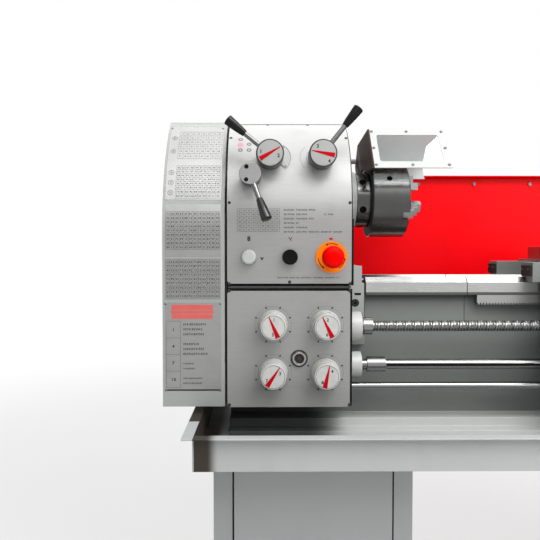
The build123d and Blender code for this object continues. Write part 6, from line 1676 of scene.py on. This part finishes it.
class LATHE_OT_slides(Step, bpy.types.Operator):
    """Finish the cross slide, the compound slide and the tool post"""

    bl_idname = "lathe.slides"
    bl_label = "Slides and tool post"

    def execute(self, context):
        softened("cross_slide", "cut_steel", 1.5)
        softened("compound_base", "cut_steel", 0.8)
        softened("compound_slide", "cut_steel", 1.2)
        softened("tool_post", "dark_steel", 0.8)
        screw, across = pivot("cross_screw_turn", y=-0.204), Vector((0.6, 0.0, -0.8))
        crank("cross_screw", screw, -Y, across, 20.0, 6.0, 294.0, 48.0)
        screw, across = pivot("compound_screw_turn", x=0.097), Vector((0.0, 0.6, 0.8))
        crank("compound_screw", screw, X, across, 17.0, 6.0, 140.0, 30.0)
        hub = pivot("tool_post_lever_turn", z=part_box("tool_post_lever")[0].z)
        shape = [(0, 16), (1, 17), (20, 14.6), (25, 12), (28, 8)]
        root, way = hub + Z * 20.0 * MM, Vector((0.75, -0.5, 0.43))
        ball_lever("tool_post_lever", (shape, hub, Z), root, way, 110.0, 6.0, 14.0)
        self.marks()
        return {"FINISHED"}

    def marks(self):
        """Degree lines round the swivel and gib screws along the cross slide."""
        centre = pivot("compound_swivel", z=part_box("compound_base")[0].z + 5.0 * MM)
        tick = line_mark(3.5, 0.3, 0.15)
        scale_lines("swivel_lines", tick, centre, Z, 52.0, 72, "compound_base")
        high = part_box("cross_slide")[1]
        ys = [(60.0 * i - 140.0) * MM for i in range(5)]
        gibs = grid((high.x,), ys, (high.z - 14.0 * MM,), X)
        copies("gib_screws", cap_screw(3.6, 3), gibs, "dark_steel", "cross_slide")


class LATHE_OT_tailstock(Step, bpy.types.Operator):
    """Finish the tailstock"""

    bl_idname = "lathe.tailstock"
    bl_label = "Tailstock"

    def execute(self, context):
        softened("tailstock_body", "casting_paint", 2.5)
        coat_nodes("rod_steel", "tailstock_quill")
        low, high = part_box("tailstock_body")
        axis = pivot("tailstock_wheel_turn", x=high.x + 0.026)
        handwheel("tailstock_wheel", axis, X, Z, 9.0, 26.0, 130.0)
        root = pivot("quill_lock_turn", z=axis.z + 0.029)
        shape = [(0, 6), (16.5, 6), (16.5, 12.4), (17.5, 13), (34, 12), (38, 8)]
        hub, way = (shape, root, Z), Vector((0.35, -0.85, 0.4))
        ball_lever("quill_lock", hub, root + Z * 26.5 * MM, way, 70.0, 5.0, 11.0)
        self.trim(low, high, axis)
        return {"FINISHED"}

    def trim(self, low, high, axis):
        """Quill lines, the seam of the base, screws, oil cups and the clamp nut."""
        out = Vector((0.0, -0.7, 0.714)).normalized()
        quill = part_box("tailstock_quill")[1].z - axis.z
        front = moved(axis, x=0.4785) + out * quill
        places = [(front + X * 5.0 * i * MM, out, out.cross(X)) for i in range(20)]
        copies("quill_lines", line_mark(3.5, 0.3, 0.15), places, "ink", "quill", slot="dark_steel")
        inset, over, z = 14.0 * MM, 0.3 * MM, low.z + 22.0 * MM
        ends = (low.x + inset, low.y - over, z), (high.x - inset, high.y + over, z + 1.2 * MM)
        Form().block(*ends).done("tailstock_seam", "gasket", "tailstock")
        centre = moved((low + high) / 2.0, z=low.z + 33.0 * MM)
        places = [(moved(centre, y=low.y), -Y), (moved(centre, y=high.y), Y)]
        copies("offset_screws", cap_screw(7, 6), places, "dark_steel", "tailstock")
        cups = grid((0.64, 0.70), (axis.y,), (axis.z + 0.0435,), Z)
        shape = [(0, 4.6), (3, 4.6), (4, 3.6), (7, 3.6), (8, 2.6)]
        copies("oil_cups", Form().turned(shape, ORIGIN, Z, 20), cups, "chrome", "tailstock")
        clamp = [(Vector((high.x - 38.0 * MM, -0.052, 0.9505)), Z)]
        nut = Form().turned([(0, 12), (9, 12), (10, 11)], ORIGIN, Z, 6)
        copies("clamp_nut", nut, clamp, "dark_steel", "tailstock")


class LATHE_OT_stands(Step, bpy.types.Operator):
    """Finish the stands, the tray and the splash guard"""

    bl_idname = "lathe.stands"
    bl_label = "Stands and tray"

    def execute(self, context):
        softened("cabinet_stands", "cabinet_paint", 3.0)
        softened("chip_tray", "tray_paint", 1.0)
        softened("splash_guard", "red_paint", 0.8)
        low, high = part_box("cabinet_stands")
        width = 0.380
        stands = [(low.x, low.x + width), (high.x - width, high.x)]
        self.fronts(low, high, stands)
        self.rear(high.y, stands)
        self.splash()
        return {"FINISHED"}

    def fronts(self, low, high, stands):
        """Doors with locks and louvres, plinths, and louvres in the outer ends."""
        doors, gaps, plinths = Form(), Form(), Form()
        locks, vents = [], []
        rows = [LOUVRE_PITCH * row for row in range(9)]
        door, over = low.y - 3.5 * MM, 0.6 * MM
        for left, right in stands:
            start = (left - over, low.y - over, 0.004)
            plinths.block(start, (right + over, high.y + over, 0.056), 0.5)
            start = (left + 0.036, low.y - 0.5 * MM, 0.086)
            gaps.block(start, (right - 0.036, low.y + 2.0 * MM, 0.554))
            start = (left + 0.039, door, 0.089)
            doors.block(start, (right - 0.039, low.y + 1.0 * MM, 0.551), 2.0)
            locks += grid((right - 0.062,), (door,), (0.34,), -Y)
            heights = [0.15 + row for row in rows]
            vents += grid(((left + right) / 2.0,), (door + 0.1 * MM,), heights, -Y, X)
        doors.done("stand_doors", "cabinet_paint")
        gaps.done("door_gaps", "gasket", slot="black_plastic")
        plinths.done("stand_plinths", "rubber")
        copies("door_locks", quarter_lock(), locks, "chrome")
        for x, out in ((low.x, -X), (high.x, X)):
            vents += grid((x,), (0.0,), [0.36 + row for row in rows], out, Y)
        copies("stand_louvres", louvre(), vents, "cabinet_paint")

    def rear(self, back, stands):
        """Screwed panels at the back of the stands."""
        panels, places = Form(), []
        inset, bolt, face = 0.045, 0.057, back + 2.5 * MM
        for left, right in stands:
            start = (left + inset, back - 1.0 * MM, 0.095)
            panels.block(start, (right - inset, face, 0.545), 1.2)
            places += grid((left + bolt, right - bolt), (face,), (0.107, 0.32, 0.533), Y)
        panels.done("rear_panels", "cabinet_paint")
        copies("panel_bolts", cap_screw(3.6, 2.6), places, "screw_steel")

    def splash(self):
        """Screws and ribs of the red sheet."""
        low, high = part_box("splash_guard")
        xs = spread(low.x, high.x, 0.03, 9)
        places = grid(xs, (high.y - 3.0 * MM,), (low.z + 0.052, high.z - 0.02), -Y)
        copies("splash_screws", cap_screw(4.4, 3.2), places, "screw_steel")
        ribs = Form()
        for x in spread(low.x, high.x, 0.155, 4):
            start = (x - 0.016, high.y - 0.5 * MM, low.z + 0.05)
            ribs.block(start, (x + 0.016, high.y + 4.0 * MM, high.z - 0.03), 1.2)
        ribs.done("splash_ribs", "red_paint")


def seen_rays(nodes):
    """One for what the camera, metal or glass shows, nought for light that falls on the lathe."""
    rays = nodes.add("ShaderNodeLightPath").outputs
    seen = Value(nodes, rays["Is Camera Ray"]) + Value(nodes, rays["Is Glossy Ray"])
    return (seen + Value(nodes, rays["Is Transmission Ray"])).over(0, 1)


class LATHE_OT_studio(Step, bpy.types.Operator):
    """Set the floor, the lamps, the background and the camera"""

    bl_idname = "lathe.studio"
    bl_label = "Studio"

    def execute(self, context):
        studio = context.scene.lathe_studio
        self.floor()
        self.background(studio)
        for name, place, aim, size in (
            ("front", (-0.4, -2.3, 3.3), (-0.55, -0.2, 1.05), (2.5, 2.5)),
            ("top", (-0.3, 0.5, 3.7), (-0.3, 0.1, 0.9), (3.2, 3.2)),
            ("back", (0.6, 3.8, 2.6), (0.0, 0.2, 0.8), (3, 3)),
            ("side", (1.6, -1.9, 2.1), (-0.4, 0.25, 0.95), (2, 2)),
            ("spark", (0.3, -1.3, 2.75), (-0.65, -0.2, 1.05), (1.3, 0.5)),
        ):
            self.lamp(name + "_lamp", Vector(place), Vector(aim), size, getattr(studio, name))
        eye = bpy.data.cameras.new("camera")
        eye.lens = studio.lens
        eye.clip_start = 0.02
        camera = linked("camera", eye)
        camera.location = studio.place
        camera.rotation_euler = (math.pi / 2.0 - studio.down, 0.0, -studio.aside)
        context.scene.camera = camera
        context.scene.view_settings.view_transform = "Standard"
        return {"FINISHED"}

    def floor(self):
        """A pale floor that fades to white with distance."""
        data = Form().block((-9.0, -9.0, -0.02), (9.0, 9.0, 0.0)).data("floor")
        f = Finish("floor")
        far = (f.x * f.x + f.y * f.y).root().over(1.5, 4.5)
        share = (0.5 + far * 0.5) * seen_rays(f)
        shade = f.mix(f.noise(0.02, 3), (0.86, 0.86, 0.86), (0.9, 0.9, 0.9))
        plain = f.add("ShaderNodeBsdfDiffuse", {"Color": shade})
        white = f.add("ShaderNodeEmission", {"Color": WHITE})
        f.show(f.add("ShaderNodeMixShader", {0: share, 1: plain.outputs[0], 2: white.outputs[0]}))
        data.materials.append(f.material)
        linked("floor", data)

    def background(self, studio):
        """White to the eye, dim as a light."""
        world = bpy.data.worlds.new("studio")
        bpy.context.scene.world = world
        world.use_nodes = True
        world.node_tree.nodes.clear()
        nodes = Nodes(world.node_tree)
        strength = studio.ambient + seen_rays(nodes) * (1.0 - studio.ambient)
        sky = nodes.add("ShaderNodeBackground", {"Color": WHITE, "Strength": strength})
        nodes.add("ShaderNodeOutputWorld", {"Surface": sky.outputs[0]})

    def lamp(self, name, place, aim, size, energy):
        light = bpy.data.lights.new(name, "AREA")
        light.shape = "RECTANGLE"
        light.size, light.size_y = size
        light.energy = energy
        lamp = linked(name, light)
        lamp.location = place
        lamp.rotation_euler = (aim - place).to_track_quat("-Z", "Y").to_euler()


STEPS = tuple(Step.__subclasses__())
GROUPS = {"lathe_colours": LatheColours, "lathe_sizes": LatheSizes, "lathe_studio": LatheStudio}


class LATHE_PT_looks(bpy.types.Panel):
    """Lists the steps that dress the lathe and their settings"""

    bl_idname = "LATHE_PT_looks"
    bl_label = "Lathe"
    bl_space_type = "VIEW_3D"
    bl_region_type = "UI"
    bl_category = "Lathe"

    def draw(self, context):
        for step in STEPS:
            self.layout.operator(step.bl_idname)
        for name, group in GROUPS.items():
            for setting in group.__annotations__:
                self.layout.prop(getattr(context.scene, name), setting)


CLASSES = (*GROUPS.values(), *STEPS, LATHE_PT_looks)


def register():
    for made in CLASSES:
        bpy.utils.register_class(made)
    for name, group in GROUPS.items():
        setattr(bpy.types.Scene, name, PointerProperty(type=group))


def unregister():
    for name in GROUPS:
        delattr(bpy.types.Scene, name)
    for made in reversed(CLASSES):
        bpy.utils.unregister_class(made)


def main():
    register()
    for step in STEPS:
        operator = getattr(bpy.ops.lathe, step.bl_idname.split(".")[1])
        operator()


if __name__ == "__main__":
    main()
